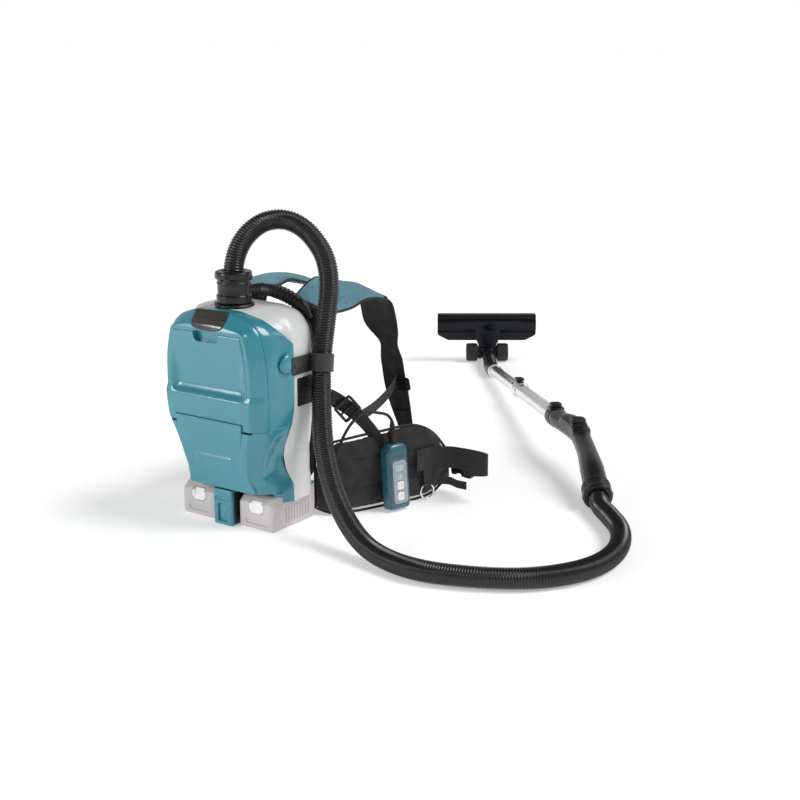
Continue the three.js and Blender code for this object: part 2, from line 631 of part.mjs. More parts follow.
const remote = new THREE.Group();
remote.position.set(REMOTE.x, REMOTE.y, REMOTE.z);
remote.rotation.set(radians(-REMOTE.lean), 0, radians(REMOTE.turn), 'ZXY');
unit.add(remote);

const FACE = -REMOTE.depth / 2;
const KEYPAD = { halfWidth: 16, bottom: 9, top: 87 };
const BUTTONS = [['power_button', 15], ['mode_button', 34]];
const BUTTON_SIZE = 15;
const buttonWells = BUTTONS.map(([, z]) => block(-8, 8, FACE - 5, FACE + 6, z, z + BUTTON_SIZE + 1));

function remoteHousing() {
  const body = prism('z', roundedRect(REMOTE.width, REMOTE.depth, 7), 0, REMOTE.height);
  const seat = block(-KEYPAD.halfWidth, KEYPAD.halfWidth, FACE - 5, FACE + 2, KEYPAD.bottom, KEYPAD.top);
  return cut(body, seat, ...buttonWells);
}

function keypad() {
  const plate = block(-KEYPAD.halfWidth + GAP, KEYPAD.halfWidth - GAP, FACE - 0.5, FACE + 1.7,
    KEYPAD.bottom + GAP, KEYPAD.top - GAP);
  return cut(plate, ...buttonWells);
}

addPart('remote_housing', remoteHousing(), TEAL, remote);
addPart('remote_keypad', keypad(), DARK_GREY, remote);
for (const [name, z] of BUTTONS) {
  const cap = block(-BUTTON_SIZE / 2, BUTTON_SIZE / 2, FACE - 1.5, FACE + 4, z + 0.5, z + 0.5 + BUTTON_SIZE);
  addPart(name, cap, WHITE, remote);
}
const bootProfile = [[0, REMOTE.height + GAP], [7.5, REMOTE.height + GAP], [6.5, REMOTE.height + 8],
  [3.8, REMOTE.height + 38], [0, REMOTE.height + 38]];
addPart('cable_boot', turned(bootProfile, 12), BLACK, remote);

const CABLE_PATH = points([
  [179, 190.5, 158.5], [176, 187, 167], [168, 174, 173.5], [158, 151, 177.5], [149, 127, 168],
  [142, 106, 144], [139, 93, 118], [139, 84, 97], [133, 76, 83], [117, 62, 78],
]);
addPart('remote_cable', pipe(CABLE_PATH, [2.6, 2.6], 0, 26, 6), RUBBER);

// ---------------------------------------------------------------- wand

const pipeAxis = PIPE_END.clone().sub(PIPE_JOINT).normalize();
const onPipe = (start, distance) => start.clone().addScaledVector(pipeAxis, distance);

function wandSleeve(start, outer, inner, length) {
  return aimed(turned(sleeve(outer, inner, 0, length)), start, pipeAxis);
}

const HANDLE_PATH = [
  HOSE_END.clone().addScaledVector(HOSE_END_AXIS, 2),
  ...points([[443, 450, 47], [387, 528, 63], [344, 579, 71]]),
  onPipe(PIPE_JOINT, -45),
  onPipe(PIPE_JOINT, -28),
];

function wandHandle() {
  const grip = pipe(HANDLE_PATH, [22, 20.5, 17, 16.5, 17.5, 17.5], 3, 16, 12);
  return fuse(grip, wandSleeve(onPipe(PIPE_JOINT, -34), 20, 16.6, 34));
}

const endCuffProfile = [
  [18.6, -22], [24, -22], [26.5, -19], [26.5, -8], [25, -7], [25, -5], [26.5, -4], [26.5, 12], [22.6, 12],
  [22.6, 0.5], [18.6, 0.5], [18.6, -22],
];
addPart('hose_end_cuff', aimed(turned(endCuffProfile), HOSE_END, HOSE_END_AXIS), BLACK);
addPart('wand_handle', wandHandle(), BLACK);

/** A block seated above a point of the wand: length runs along the wand, width across it, z is up. */
function wandBlock(centre, lift, length, width, height) {
  const heading = Math.atan2(pipeAxis.y, pipeAxis.x);
  const pitch = Math.asin(-pipeAxis.z);
  return block(-length / 2, length / 2, -width / 2, width / 2, lift, lift + height)
    .rotateY(pitch).rotateZ(heading).translate(centre.x, centre.y, centre.z);
}

const pipeLength = PIPE_JOINT.distanceTo(PIPE_STEP);
const innerLength = PIPE_STEP.distanceTo(PIPE_END);
addPart('suction_slider', wandBlock(v(344, 579, 71), 20.5, 28, 22, 8), BLACK);
addPart('handle_lock_button', wandBlock(onPipe(PIPE_JOINT, -14), 20.4, 22, 16, 6), BLACK);
addPart('outer_pipe', wandSleeve(onPipe(PIPE_JOINT, -24), OUTER_PIPE_RADIUS, OUTER_PIPE_RADIUS - 1.2,
  pipeLength + 24), STEEL);
const innerStart = onPipe(PIPE_JOINT, pipeLength - 60);
addPart('inner_pipe', wandSleeve(innerStart, INNER_PIPE_RADIUS, INNER_PIPE_RADIUS - 1.2, innerLength + 60),
  STEEL);
addPart('pipe_lock_button', wandBlock(onPipe(PIPE_STEP, -14), OUTER_PIPE_RADIUS + 0.4, 30, 18, 9), BLACK);

// ---------------------------------------------------------------- floor nozzle

const head = new THREE.Group();
head.position.set(NOZZLE.x, NOZZLE.y, NOZZLE.z);
head.rotation.z = radians(NOZZLE.turn);
unit.add(head);
head.updateMatrixWorld();

const KNUCKLE = { radius: 15, inner: 14, outer: 27, bore: 4.4 };
const acrossHead = (profile, x, segments = 14) => alongX(turned(profile, segments), x, 0, 0);

/** Tube from the inner pipe down to the axle, with the hinge knuckle between the head's lugs. */
function nozzleElbow() {
  const end = head.worldToLocal(PIPE_END.clone());
  const direction = pipeAxis.clone().applyAxisAngle(v(0, 0, 1), radians(-NOZZLE.turn));
  const socket = aimed(turned(sleeve(17, INNER_PIPE_RADIUS + 0.4, -16, 6)), end, direction);
  const path = [end.clone().addScaledVector(direction, 2), end.clone().addScaledVector(direction, 20),
    v(1, -70, -1), v(0, -26, 0), v(0, -12, 0)];
  const neck = pipe(path, [16.5, 16, 15.5, 14, 12.5], 2.5, 7, 10);
  const knuckle = acrossHead(rod(KNUCKLE.radius, 0, 2 * KNUCKLE.inner - 0.6), -KNUCKLE.inner + GAP);
  const trimmed = common(neck, block(-40, 40, -260, 0, -30, 30));
  return cut(fuse(socket, trimmed, knuckle), acrossHead(rod(KNUCKLE.bore, 0, 60), -30));
}

/** Suction head standing on edge: its sole faces +Y and its neck ends in two hinge lugs on the axle. */
function nozzleBody() {
  const section = prism('x', [
    [-2, 31], [-5, 52], [-2.5, 55], [-8, 59], [-8, 80], [-2, 86], [-2, 98], [20, 98], [23, 95], [23, 34],
    [20, 31],
  ], -130, 130);
  const plan = prism('y', [[-127, 99], [123, 99], [123, 46], [94, 30.5], [-98, 30.5], [-127, 46]], -20, 30);
  const arm = prism('y', [
    [-KNUCKLE.outer, 16.5], [KNUCKLE.outer, 16.5], [26, 52], [40, 70], [-40, 70], [-26, 52],
  ], -11, 8);
  const lug = (x) => fuse(acrossHead(rod(KNUCKLE.radius, 0, 13), x), block(x, x + 13, -11, 8, 0, 20));
  const suctionSlot = block(-106, 106, 12, 30, 52, 70);
  const brushGroove = block(-112, 112, 18, 30, 37, 45);
  const solid = fuse(common(section, plan), arm, lug(KNUCKLE.inner), lug(-KNUCKLE.outer));
  return cut(solid, suctionSlot, brushGroove, acrossHead(rod(KNUCKLE.bore, 0, 60), -30));
}

const wheelProfile = [
  [KNUCKLE.bore, 0], [18, 0], [20, 2], [WHEEL_RADIUS - 1.5, 2], [WHEEL_RADIUS, 4], [WHEEL_RADIUS, 20],
  [WHEEL_RADIUS - 2, 24], [12, 24], [10, 21], [KNUCKLE.bore, 21], [KNUCKLE.bore, 0],
];
const wheel = acrossHead(wheelProfile, 29, 20);

addPart('nozzle_elbow', nozzleElbow(), BLACK, head);
addPart('nozzle_body', nozzleBody(), BLACK, head);
addPart('nozzle_brush', block(-111.5, 111.5, 18.5, 27, 37.5, 44.5), DARK_GREY, head);
addPart('wheel_axle', acrossHead(rod(4, 0, 98), -49, 12), STEEL, head);
addPart('wheel_r', wheel, RUBBER, head);
addPart('wheel_l', mirrored(wheel), RUBBER, head);

export default unit;
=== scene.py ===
import math

import bmesh
import bpy
import numpy as np
from mathutils import Matrix, Vector


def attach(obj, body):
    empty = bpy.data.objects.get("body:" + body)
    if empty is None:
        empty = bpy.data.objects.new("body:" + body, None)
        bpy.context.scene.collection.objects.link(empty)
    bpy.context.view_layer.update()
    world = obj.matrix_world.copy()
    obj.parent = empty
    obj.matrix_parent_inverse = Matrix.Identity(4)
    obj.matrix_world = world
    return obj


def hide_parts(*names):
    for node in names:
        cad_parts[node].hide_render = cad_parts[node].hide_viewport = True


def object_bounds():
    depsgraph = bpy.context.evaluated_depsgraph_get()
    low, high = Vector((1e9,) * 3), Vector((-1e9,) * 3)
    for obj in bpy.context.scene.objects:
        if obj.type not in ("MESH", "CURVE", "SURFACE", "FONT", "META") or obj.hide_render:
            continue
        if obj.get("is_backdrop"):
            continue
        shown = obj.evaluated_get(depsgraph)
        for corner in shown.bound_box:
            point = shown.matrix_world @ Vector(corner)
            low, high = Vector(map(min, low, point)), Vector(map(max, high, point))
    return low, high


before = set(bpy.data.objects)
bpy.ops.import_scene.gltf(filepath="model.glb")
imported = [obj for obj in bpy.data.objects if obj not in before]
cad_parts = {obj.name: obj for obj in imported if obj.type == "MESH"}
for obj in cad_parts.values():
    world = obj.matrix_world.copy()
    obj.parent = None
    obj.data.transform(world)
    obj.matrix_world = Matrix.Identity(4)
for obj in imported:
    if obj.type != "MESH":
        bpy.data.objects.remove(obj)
cad_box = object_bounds()

# Looks of the backpack vacuum cleaner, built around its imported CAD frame. Lengths are in millimetres until a
# mesh is made; meshes are in metres. The frame is +Z up, the dust cover faces -Y and the wearer stands at +Y.

MM = 0.001
FULL_TURN = 2 * math.pi
UP, ALONG_X, TO_FRONT = np.array([0.0, 0.0, 1.0]), (1, 0, 0), (0, -1, 0)


# ---------------------------------------------------------------- curves and frames

def unit(vector):
    vector = np.asarray(vector, float)
    return vector / np.linalg.norm(vector)


def smoothstep(x, low, high):
    t = np.clip((np.asarray(x, float) - low) / (high - low), 0, 1)
    return t * t * (3 - 2 * t)


def round_angles(count):
    return np.linspace(0, FULL_TURN, count, endpoint=False)


def running_length(points):
    """Length along a line of points, 0 at its first point."""
    return np.concatenate([[0], np.cumsum(np.linalg.norm(np.diff(points, axis=0), axis=1))])


def monotone(t, values, at):
    """Monotone cubic through values[i] at t[i]: it never overshoots, so steps and flats stay crisp."""
    t, p, at = np.asarray(t, float), np.asarray(values, float), np.asarray(at, float)
    shape = p.shape[1:]
    p = p.reshape(len(t), -1)
    h = np.diff(t)[:, None]
    d = np.diff(p, axis=0) / h
    slope = np.empty_like(p)
    slope[0], slope[-1] = d[0], d[-1]
    w1, w2 = 2 * h[1:] + h[:-1], h[1:] + 2 * h[:-1]
    same = d[:-1] * d[1:] > 0
    before, after = np.where(same, d[:-1], 1), np.where(same, d[1:], 1)
    slope[1:-1] = np.where(same, (w1 + w2) / (w1 / before + w2 / after), 0)
    i = np.clip(np.searchsorted(t, at, "right") - 1, 0, len(h) - 1)
    u = ((at - t[i]) / h[i, 0])[:, None]
    made = ((2 * u**3 - 3 * u**2 + 1) * p[i] + (u**3 - 2 * u**2 + u) * h[i] * slope[i]
            + (3 * u**2 - 2 * u**3) * p[i + 1] + (u**3 - u**2) * h[i] * slope[i + 1])
    return made.reshape((len(at),) + shape)


def curve(points, spacing=None, count=None):
    """Centripetal Catmull-Rom curve through points, sampled evenly along its length."""
    p = np.asarray(points, float)
    p = np.vstack([2 * p[0] - p[1], p, 2 * p[-1] - p[-2]])
    samples = []
    for four in zip(p[:-3], p[1:-2], p[2:-1], p[3:]):
        steps = np.linalg.norm(np.diff(four, axis=0), axis=1)
        t = np.concatenate([[0], np.cumsum(np.maximum(steps, 1e-6) ** 0.5)])
        at = np.linspace(t[1], t[2], 24, endpoint=False)[:, None]
        row = four
        for spans in (((0, 1), (1, 2), (2, 3)), ((0, 2), (1, 3)), ((1, 2),)):
            row = [(t[j] - at) / (t[j] - t[i]) * first + (at - t[i]) / (t[j] - t[i]) * last
                   for (i, j), first, last in zip(spans, row, row[1:])]
        samples.append(row[0])
    dense = np.vstack(samples + [p[-2:-1]])
    length = running_length(dense)
    if count is None:
        count = max(2, int(round(length[-1] / spacing)) + 1)
    even = np.linspace(0, length[-1], count)
    return np.stack([np.interp(even, length, dense[:, k]) for k in range(3)], axis=1)


def square_to(vector, axis):
    """Unit vector along what is left of a vector when its part along the axis is taken off."""
    return unit(np.asarray(vector, float) - np.dot(vector, axis) * axis)


def frames_along(path, side=ALONG_X):
    """Side and top vectors along a path, turned as little as possible from one point to the next."""
    tangents = np.gradient(path, axis=0)
    tangents /= np.linalg.norm(tangents, axis=1)[:, None]
    sides = [square_to(side, tangents[0])]
    for before, after in zip(tangents[:-1], tangents[1:]):
        carried = sides[-1]
        axis = np.cross(before, after)
        turn = np.linalg.norm(axis)
        if turn > 1e-9:
            turning = Matrix.Rotation(math.asin(min(1, turn)), 3, Vector(axis / turn))
            carried = np.array(turning @ Vector(carried))
        sides.append(square_to(carried, after))
    return np.array(sides), np.cross(tangents, sides)


def basis(axis):
    """Two unit vectors square to an axis and to each other."""
    axis = unit(axis)
    first = square_to((0, 1, 0) if abs(axis[0]) > 1 - 1e-9 else ALONG_X, axis)
    return first, np.cross(axis, first)


# ---------------------------------------------------------------- outlines

def corner(a, b, c, radius, steps):
    """Curve that rounds the corner at b, between a and c."""
    reach = min(radius, 0.45 * np.linalg.norm(a - b), 0.45 * np.linalg.norm(c - b))
    start, end = b + unit(a - b) * reach, b + unit(c - b) * reach
    return [(1 - t) ** 2 * start + 2 * t * (1 - t) * b + t * t * end for t in np.linspace(0, 1, steps + 1)]


def rounded_profile(profile, radius=0.8, steps=3):
    """Open profile with each of its inner corners rounded."""
    p = np.asarray(profile, float)
    inner = [q for three in zip(p[:-2], p[1:-1], p[2:]) for q in corner(*three, radius, steps)]
    return np.array([p[0]] + inner + [p[-1]])


def rounded_loop(outline, radius, steps=4):
    """Closed outline with its corners rounded."""
    p = np.asarray(outline, float)
    around = zip(np.roll(p, 1, 0), p, np.roll(p, -1, 0))
    return np.array([q for three in around for q in corner(*three, radius, steps)])


def rounded_rect(width, height, radius, steps=4):
    """Closed outline of a rectangle with round corners, centred on 0, 0."""
    made = []
    for across, up, start in ((1, 1, 0), (-1, 1, 90), (-1, -1, 180), (1, -1, 270)):
        for turn in np.radians(np.linspace(start, start + 90, steps + 1)):
            made.append((across * (width / 2 - radius) + radius * math.cos(turn),
                         up * (height / 2 - radius) + radius * math.sin(turn)))
    return np.array(made)


def oval(width, height, steps):
    angle = round_angles(steps)
    return np.column_stack([width / 2 * np.cos(angle), height / 2 * np.sin(angle)])


# ---------------------------------------------------------------- mesh making

def add(name, data):
    """New object in the scene from a mesh, lamp or camera."""
    made = bpy.data.objects.new(name, data)
    bpy.context.scene.collection.objects.link(made)
    return made


def build(name, vertices, faces, uvs=None):
    """Object from vertices in millimetres. uvs holds one pair for each vertex, in metres of surface."""
    mesh = bpy.data.meshes.new(name)
    mesh.from_pydata((np.asarray(vertices) * MM).tolist(), [], [list(map(int, f)) for f in faces])
    if uvs is not None:
        layer = mesh.uv_layers.new(name="surface")
        index = np.zeros(len(mesh.loops), np.int32)
        mesh.loops.foreach_get("vertex_index", index)
        layer.data.foreach_set("uv", np.asarray(uvs, np.float32)[index].ravel())
    mesh.update()
    return add(name, mesh)


def clean(piece, weld=0.01, outward=True):
    """Welds vertices closer than `weld` millimetres and turns the faces out."""
    work = bmesh.new()
    work.from_mesh(piece.data)
    bmesh.ops.remove_doubles(work, verts=work.verts, dist=weld * MM)
    bmesh.ops.dissolve_degenerate(work, edges=work.edges, dist=1e-7)
    if outward:
        bmesh.ops.recalc_face_normals(work, faces=work.faces)
    work.to_mesh(piece.data)
    work.free()
    return piece


def loft(name, rings, caps=True, loop=False):
    """Surface through equal closed rings, capped at both ends, or with its last ring joined to the first."""
    rings = np.asarray(rings, float)
    count, size = rings.shape[:2]
    faces = []
    for i in range(count if loop else count - 1):
        n = (i + 1) % count
        for j in range(size):
            k = (j + 1) % size
            faces.append((i * size + j, i * size + k, n * size + k, n * size + j))
    if caps and not loop:
        faces.append(tuple(range(size - 1, -1, -1)))
        faces.append(tuple(range((count - 1) * size, count * size)))
    surface = np.meshgrid(running_length(rings[0]), running_length(rings.mean(1)))
    uvs = np.stack(surface, axis=-1).reshape(-1, 2) * MM
    return clean(build(name, rings.reshape(-1, 3), faces, uvs))


def tube(name, path, radius, sides=24, side=ALONG_X):
    """Round sweep along a path. radius is one number, or one for each point of the path."""
    path = np.asarray(path, float)
    right, top = frames_along(path, side)
    radius = np.broadcast_to(np.asarray(radius, float), (len(path),))[:, None, None]
    angle = round_angles(sides)[None, :, None]
    outward = np.cos(angle) * right[:, None] + np.sin(angle) * top[:, None]
    return loft(name, path[:, None] + radius * outward)


def cord(name, path, width, thickness, steps=12, side=ALONG_X):
    """Flattened round cord along a path."""
    right, top = frames_along(path, side)
    pairs = oval(width, thickness, steps)
    return loft(name, [p + pairs[:, :1] * r + pairs[:, 1:] * u for p, r, u in zip(path, right, top)])


def closed_cord(name, line, width, height):
    """Flattened round cord along a closed line."""
    tangent = np.roll(line, -1, 0) - np.roll(line, 1, 0)
    tangent /= np.linalg.norm(tangent, axis=1)[:, None]
    hint = np.cross(tangent, line - line.mean(0))
    hint /= np.linalg.norm(hint, axis=1)[:, None]
    out = np.cross(hint, tangent)
    pairs = oval(width, height, 10)
    return loft(name, [p + pairs @ np.array([h, o]) for p, h, o in zip(line, hint, out)], loop=True)


def lathe(name, profile, start=(0, 0, 0), axis=UP, segments=64, loop=True):
    """Profile of (radius, height) turned about an axis through start. loop closes the profile on itself."""
    profile = np.asarray(profile, float)
    first, second = basis(axis)
    angle = round_angles(segments)
    around = np.cos(angle)[:, None] * first + np.sin(angle)[:, None] * second
    rings = (np.asarray(start, float) + profile[:, 1, None, None] * unit(axis)
             + profile[:, 0, None, None] * around[None])
    return loft(name, rings, caps=not loop, loop=loop)


def placed(x, y, z, turn_x=0, turn_y=0, turn_z=0):
    """Matrix that turns about x, then y, then z, in degrees, and then moves."""
    made = Matrix.Translation((x, y, z))
    for degrees, axis in ((turn_z, "Z"), (turn_y, "Y"), (turn_x, "X")):
        made = made @ Matrix.Rotation(math.radians(degrees), 4, axis)
    return made


def upright(x, z, y=0):
    """Matrix that stands a plate up facing the front: its outline's y goes up and its thickness to -Y."""
    return placed(x, y, z, turn_x=90)


def sideways(y, z):
    """Matrix that stands a plate up facing +X: its outline's x goes down and its y to the back."""
    return placed(0, y, z, turn_y=90)


def from_axes(x_axis, y_axis, z_axis, at):
    matrix = Matrix(np.column_stack([x_axis, y_axis, z_axis]).tolist()).to_4x4()
    matrix.translation = at
    return matrix


def put(piece, place):
    """Moves a mesh by a matrix given in millimetres."""
    matrix = place.copy()
    matrix.translation = matrix.translation * MM
    piece.data.transform(matrix)
    return piece


def join(name, *parts):
    """One object from several, keeping their UVs."""
    work = bmesh.new()
    for part in parts:
        work.from_mesh(part.data)
        bpy.data.objects.remove(part)
    mesh = bpy.data.meshes.new(name)
    work.to_mesh(mesh)
    work.free()
    return add(name, mesh)


def mirror(piece, name):
    """Copy of a piece on the other side of the plane of symmetry."""
    mesh = piece.data.copy()
    mesh.transform(Matrix.Scale(-1, 4, ALONG_X))
    mesh.flip_normals()
    return add(name, mesh)


def modify(piece, kind, **settings):
    """Mesh replaced by the result of one modifier."""
    made = piece.modifiers.new(kind.lower(), kind)
    for key, value in settings.items():
        setattr(made, key, value)
    graph = bpy.context.evaluated_depsgraph_get()
    graph.update()
    result = bpy.data.meshes.new_from_object(piece.evaluated_get(graph), depsgraph=graph)
    piece.modifiers.clear()
    piece.data = result
    return piece


def boolean(piece, other, how="DIFFERENCE"):
    modify(piece, "BOOLEAN", operation=how, object=other, solver="EXACT")
    bpy.data.objects.remove(other)
    return piece


def bevel(piece, width, segments=2, angle=40):
    return modify(piece, "BEVEL", width=width * MM, segments=segments, limit_method="ANGLE",
                  angle_limit=math.radians(angle), harden_normals=False)


def plate(name, outline, low, high, place=Matrix.Identity(4), soft=0, segments=2):
    """Outline of (x, y) pairs given a thickness from low to high along z, placed, and its edges softened."""
    made = put(loft(name, [np.column_stack([outline, np.full(len(outline), z)]) for z in (low, high)]), place)
    return bevel(made, soft, segments) if soft else made


def cut(piece, *shape):
    """Plate taken out of a piece."""
    return boolean(piece, plate("cutter", *shape))


def press(piece, change):
    """Moves every vertex by change(points), with points in millimetres."""
    flat = np.empty(len(piece.data.vertices) * 3)
    piece.data.vertices.foreach_get("co", flat)
    piece.data.vertices.foreach_set("co", (change(flat.reshape(-1, 3) / MM) * MM).ravel())
    piece.data.update()
    return piece


# ---------------------------------------------------------------- materials

class Shader:
    """A material's node tree, with short ways to add and join its nodes."""

    def __init__(self, name):
        self.material = bpy.data.materials.new(name)
        self.material.use_nodes = True
        self.tree = self.material.node_tree
        self.surface = self.tree.nodes["Principled BSDF"]
        self.place = self.node("ShaderNodeTexCoord").outputs["Object"]

    def feed(self, socket, value):
        """Links an output into a socket, or sets the socket to a plain value."""
        if isinstance(value, bpy.types.NodeSocket):
            self.tree.links.new(value, socket)
        else:
            socket.default_value = value

    def node(self, kind, values=None, **settings):
        made = self.tree.nodes.new(kind)
        for key, value in settings.items():
            setattr(made, key, value)
        for key, value in (values or {}).items():
            self.feed(made.inputs[key], value)
        return made

    def math(self, operation, a, b=0.0):
        return self.node("ShaderNodeMath", {0: a, 1: b}, operation=operation).outputs[0]

    def noise(self, scale, detail=3.0):
        values = {"Vector": self.place, "Scale": scale, "Detail": detail, "Roughness": 0.55}
        return self.node("ShaderNodeTexNoise", values).outputs["Fac"]

    def span(self, value, low, high, first, last):
        values = {"Value": value, "From Min": low, "From Max": high, "To Min": first, "To Max": last}
        return self.node("ShaderNodeMapRange", values).outputs["Result"]

    def mix(self, share, first, last):
        made = self.node("ShaderNodeMix", {"Factor": share}, data_type="RGBA")
        for index, value in ((6, first), (7, last)):
            self.feed(made.inputs[index], (*value, 1) if isinstance(value, tuple) else value)
        return made.outputs[2]

    def bump(self, height, distance, strength=1.0, below=None):
        values = {"Height": height, "Distance": distance * MM, "Strength": strength}
        if below is not None:
            values["Normal"] = below
        return self.node("ShaderNodeBump", values).outputs["Normal"]

    def set(self, **values):
        for key, value in values.items():
            self.feed(self.surface.inputs[key.replace("_", " ")], value)
        return self.material


def tone(color, share):
    return tuple(min(1.0, channel * share) for channel in color)


def plastic(name, color, rough=(0.25, 0.36), grain=(900, 0.03), coat=0.0, wear_and_highlight=0.5, shine=0.5):
    """Moulded plastic: faint colour drift, uneven gloss, a fine mould grain and paler edges, partly rubbed
    wear and partly painted highlight.
    """
    shader = Shader(name)
    drift = shader.mix(shader.noise(9, 4), tone(color, 0.93), tone(color, 1.06))
    fine = shader.noise(grain[0], 2)
    normal = shader.bump(fine, grain[1], 0.8, shader.bump(shader.noise(55, 2), 0.05, 0.5))
    gloss = shader.span(shader.noise(38, 5), 0.3, 0.7, *rough)
    edge = shader.node("ShaderNodeNewGeometry").outputs["Pointiness"]
    # Convex edges are lightened by pointiness: rubbed wear, and on ribbed parts such as the hose's crests a
    # painted highlight.
    rubbed_and_lit_edge = shader.math("MULTIPLY", shader.span(edge, 0.55, 0.66, 0.0, wear_and_highlight), shader.noise(60, 4))
    return shader.set(Base_Color=shader.mix(rubbed_and_lit_edge, drift, tone(color, 1.9)), Roughness=gloss, Normal=normal,
                      Coat_Weight=coat, Coat_Roughness=0.12, Specular_IOR_Level=shine)


def fabric(name, color, thread=1.3, sheen=0.1, crease=1.6):
    """Woven cloth. The weave follows object space, so it needs no unwrapping."""
    shader = Shader(name)
    split = shader.node("ShaderNodeSeparateXYZ", {0: shader.place})
    turns = FULL_TURN / (thread * MM)
    waves = [shader.math("SINE", shader.math("MULTIPLY", split.outputs[k], turns)) for k in range(3)]
    pairs = [shader.math("MULTIPLY", waves[i], waves[j]) for i, j in ((0, 1), (1, 2), (2, 0))]
    weave = shader.math("ADD", shader.math("ADD", pairs[0], pairs[1]), pairs[2])
    level = shader.span(weave, -1.2, 1.2, 0.0, 1.0)
    woven = shader.mix(level, tone(color, 0.62), tone(color, 1.25))
    dusty = shader.mix(shader.span(shader.noise(22, 5), 0.45, 0.8, 0.0, 0.5), woven, tone(color, 1.7))
    normal = shader.bump(level, 0.35, 0.9, shader.bump(shader.noise(26, 3), crease, 0.5))
    return shader.set(Base_Color=dusty, Roughness=shader.span(shader.noise(60, 3), 0.3, 0.7, 0.72, 0.95),
                      Normal=normal, Sheen_Weight=sheen, Sheen_Roughness=0.5)


def tape(name, color, rib=1.5):
    """Webbing: ribs across the tape and a twill slant, from the surface coordinates in metres."""
    shader = Shader(name)
    surface = shader.node("ShaderNodeUVMap", uv_map="surface").outputs["UV"]
    split = shader.node("ShaderNodeSeparateXYZ", {0: surface})
    across = shader.math("MULTIPLY", split.outputs[0], FULL_TURN / (2.2 * MM))
    along = shader.math("MULTIPLY", split.outputs[1], FULL_TURN / (rib * MM))
    slant = shader.math("SINE", shader.math("ADD", across, along))
    ribs = shader.math("SINE", across)
    level = shader.span(shader.math("ADD", shader.math("MULTIPLY", slant, 0.6), ribs), -1.5, 1.5, 0.0, 1.0)
    woven = shader.mix(level, tone(color, 0.55), tone(color, 1.45))
    dusty = shader.mix(shader.span(shader.noise(30, 4), 0.45, 0.8, 0.0, 0.4), woven, tone(color, 2.0))
    normal = shader.bump(level, 0.4, 0.9, shader.bump(shader.noise(18, 2), 1.0, 0.4))
    return shader.set(Base_Color=dusty, Roughness=0.66, Normal=normal, Sheen_Weight=0.1)


def metal(name, color, rough=(0.14, 0.26), brushed=0.0):
    """Bare metal with faint smudges; brushed deepens its fine grain."""
    shader = Shader(name)
    smudge = shader.noise(30, 5)
    normal = shader.bump(shader.noise(1500, 2), 0.004 + 0.03 * brushed, 0.3)
    return shader.set(Base_Color=shader.mix(smudge, tone(color, 0.9), tone(color, 1.05)), Metallic=1.0,
                      Roughness=shader.span(smudge, 0.35, 0.7, *rough), Normal=normal)


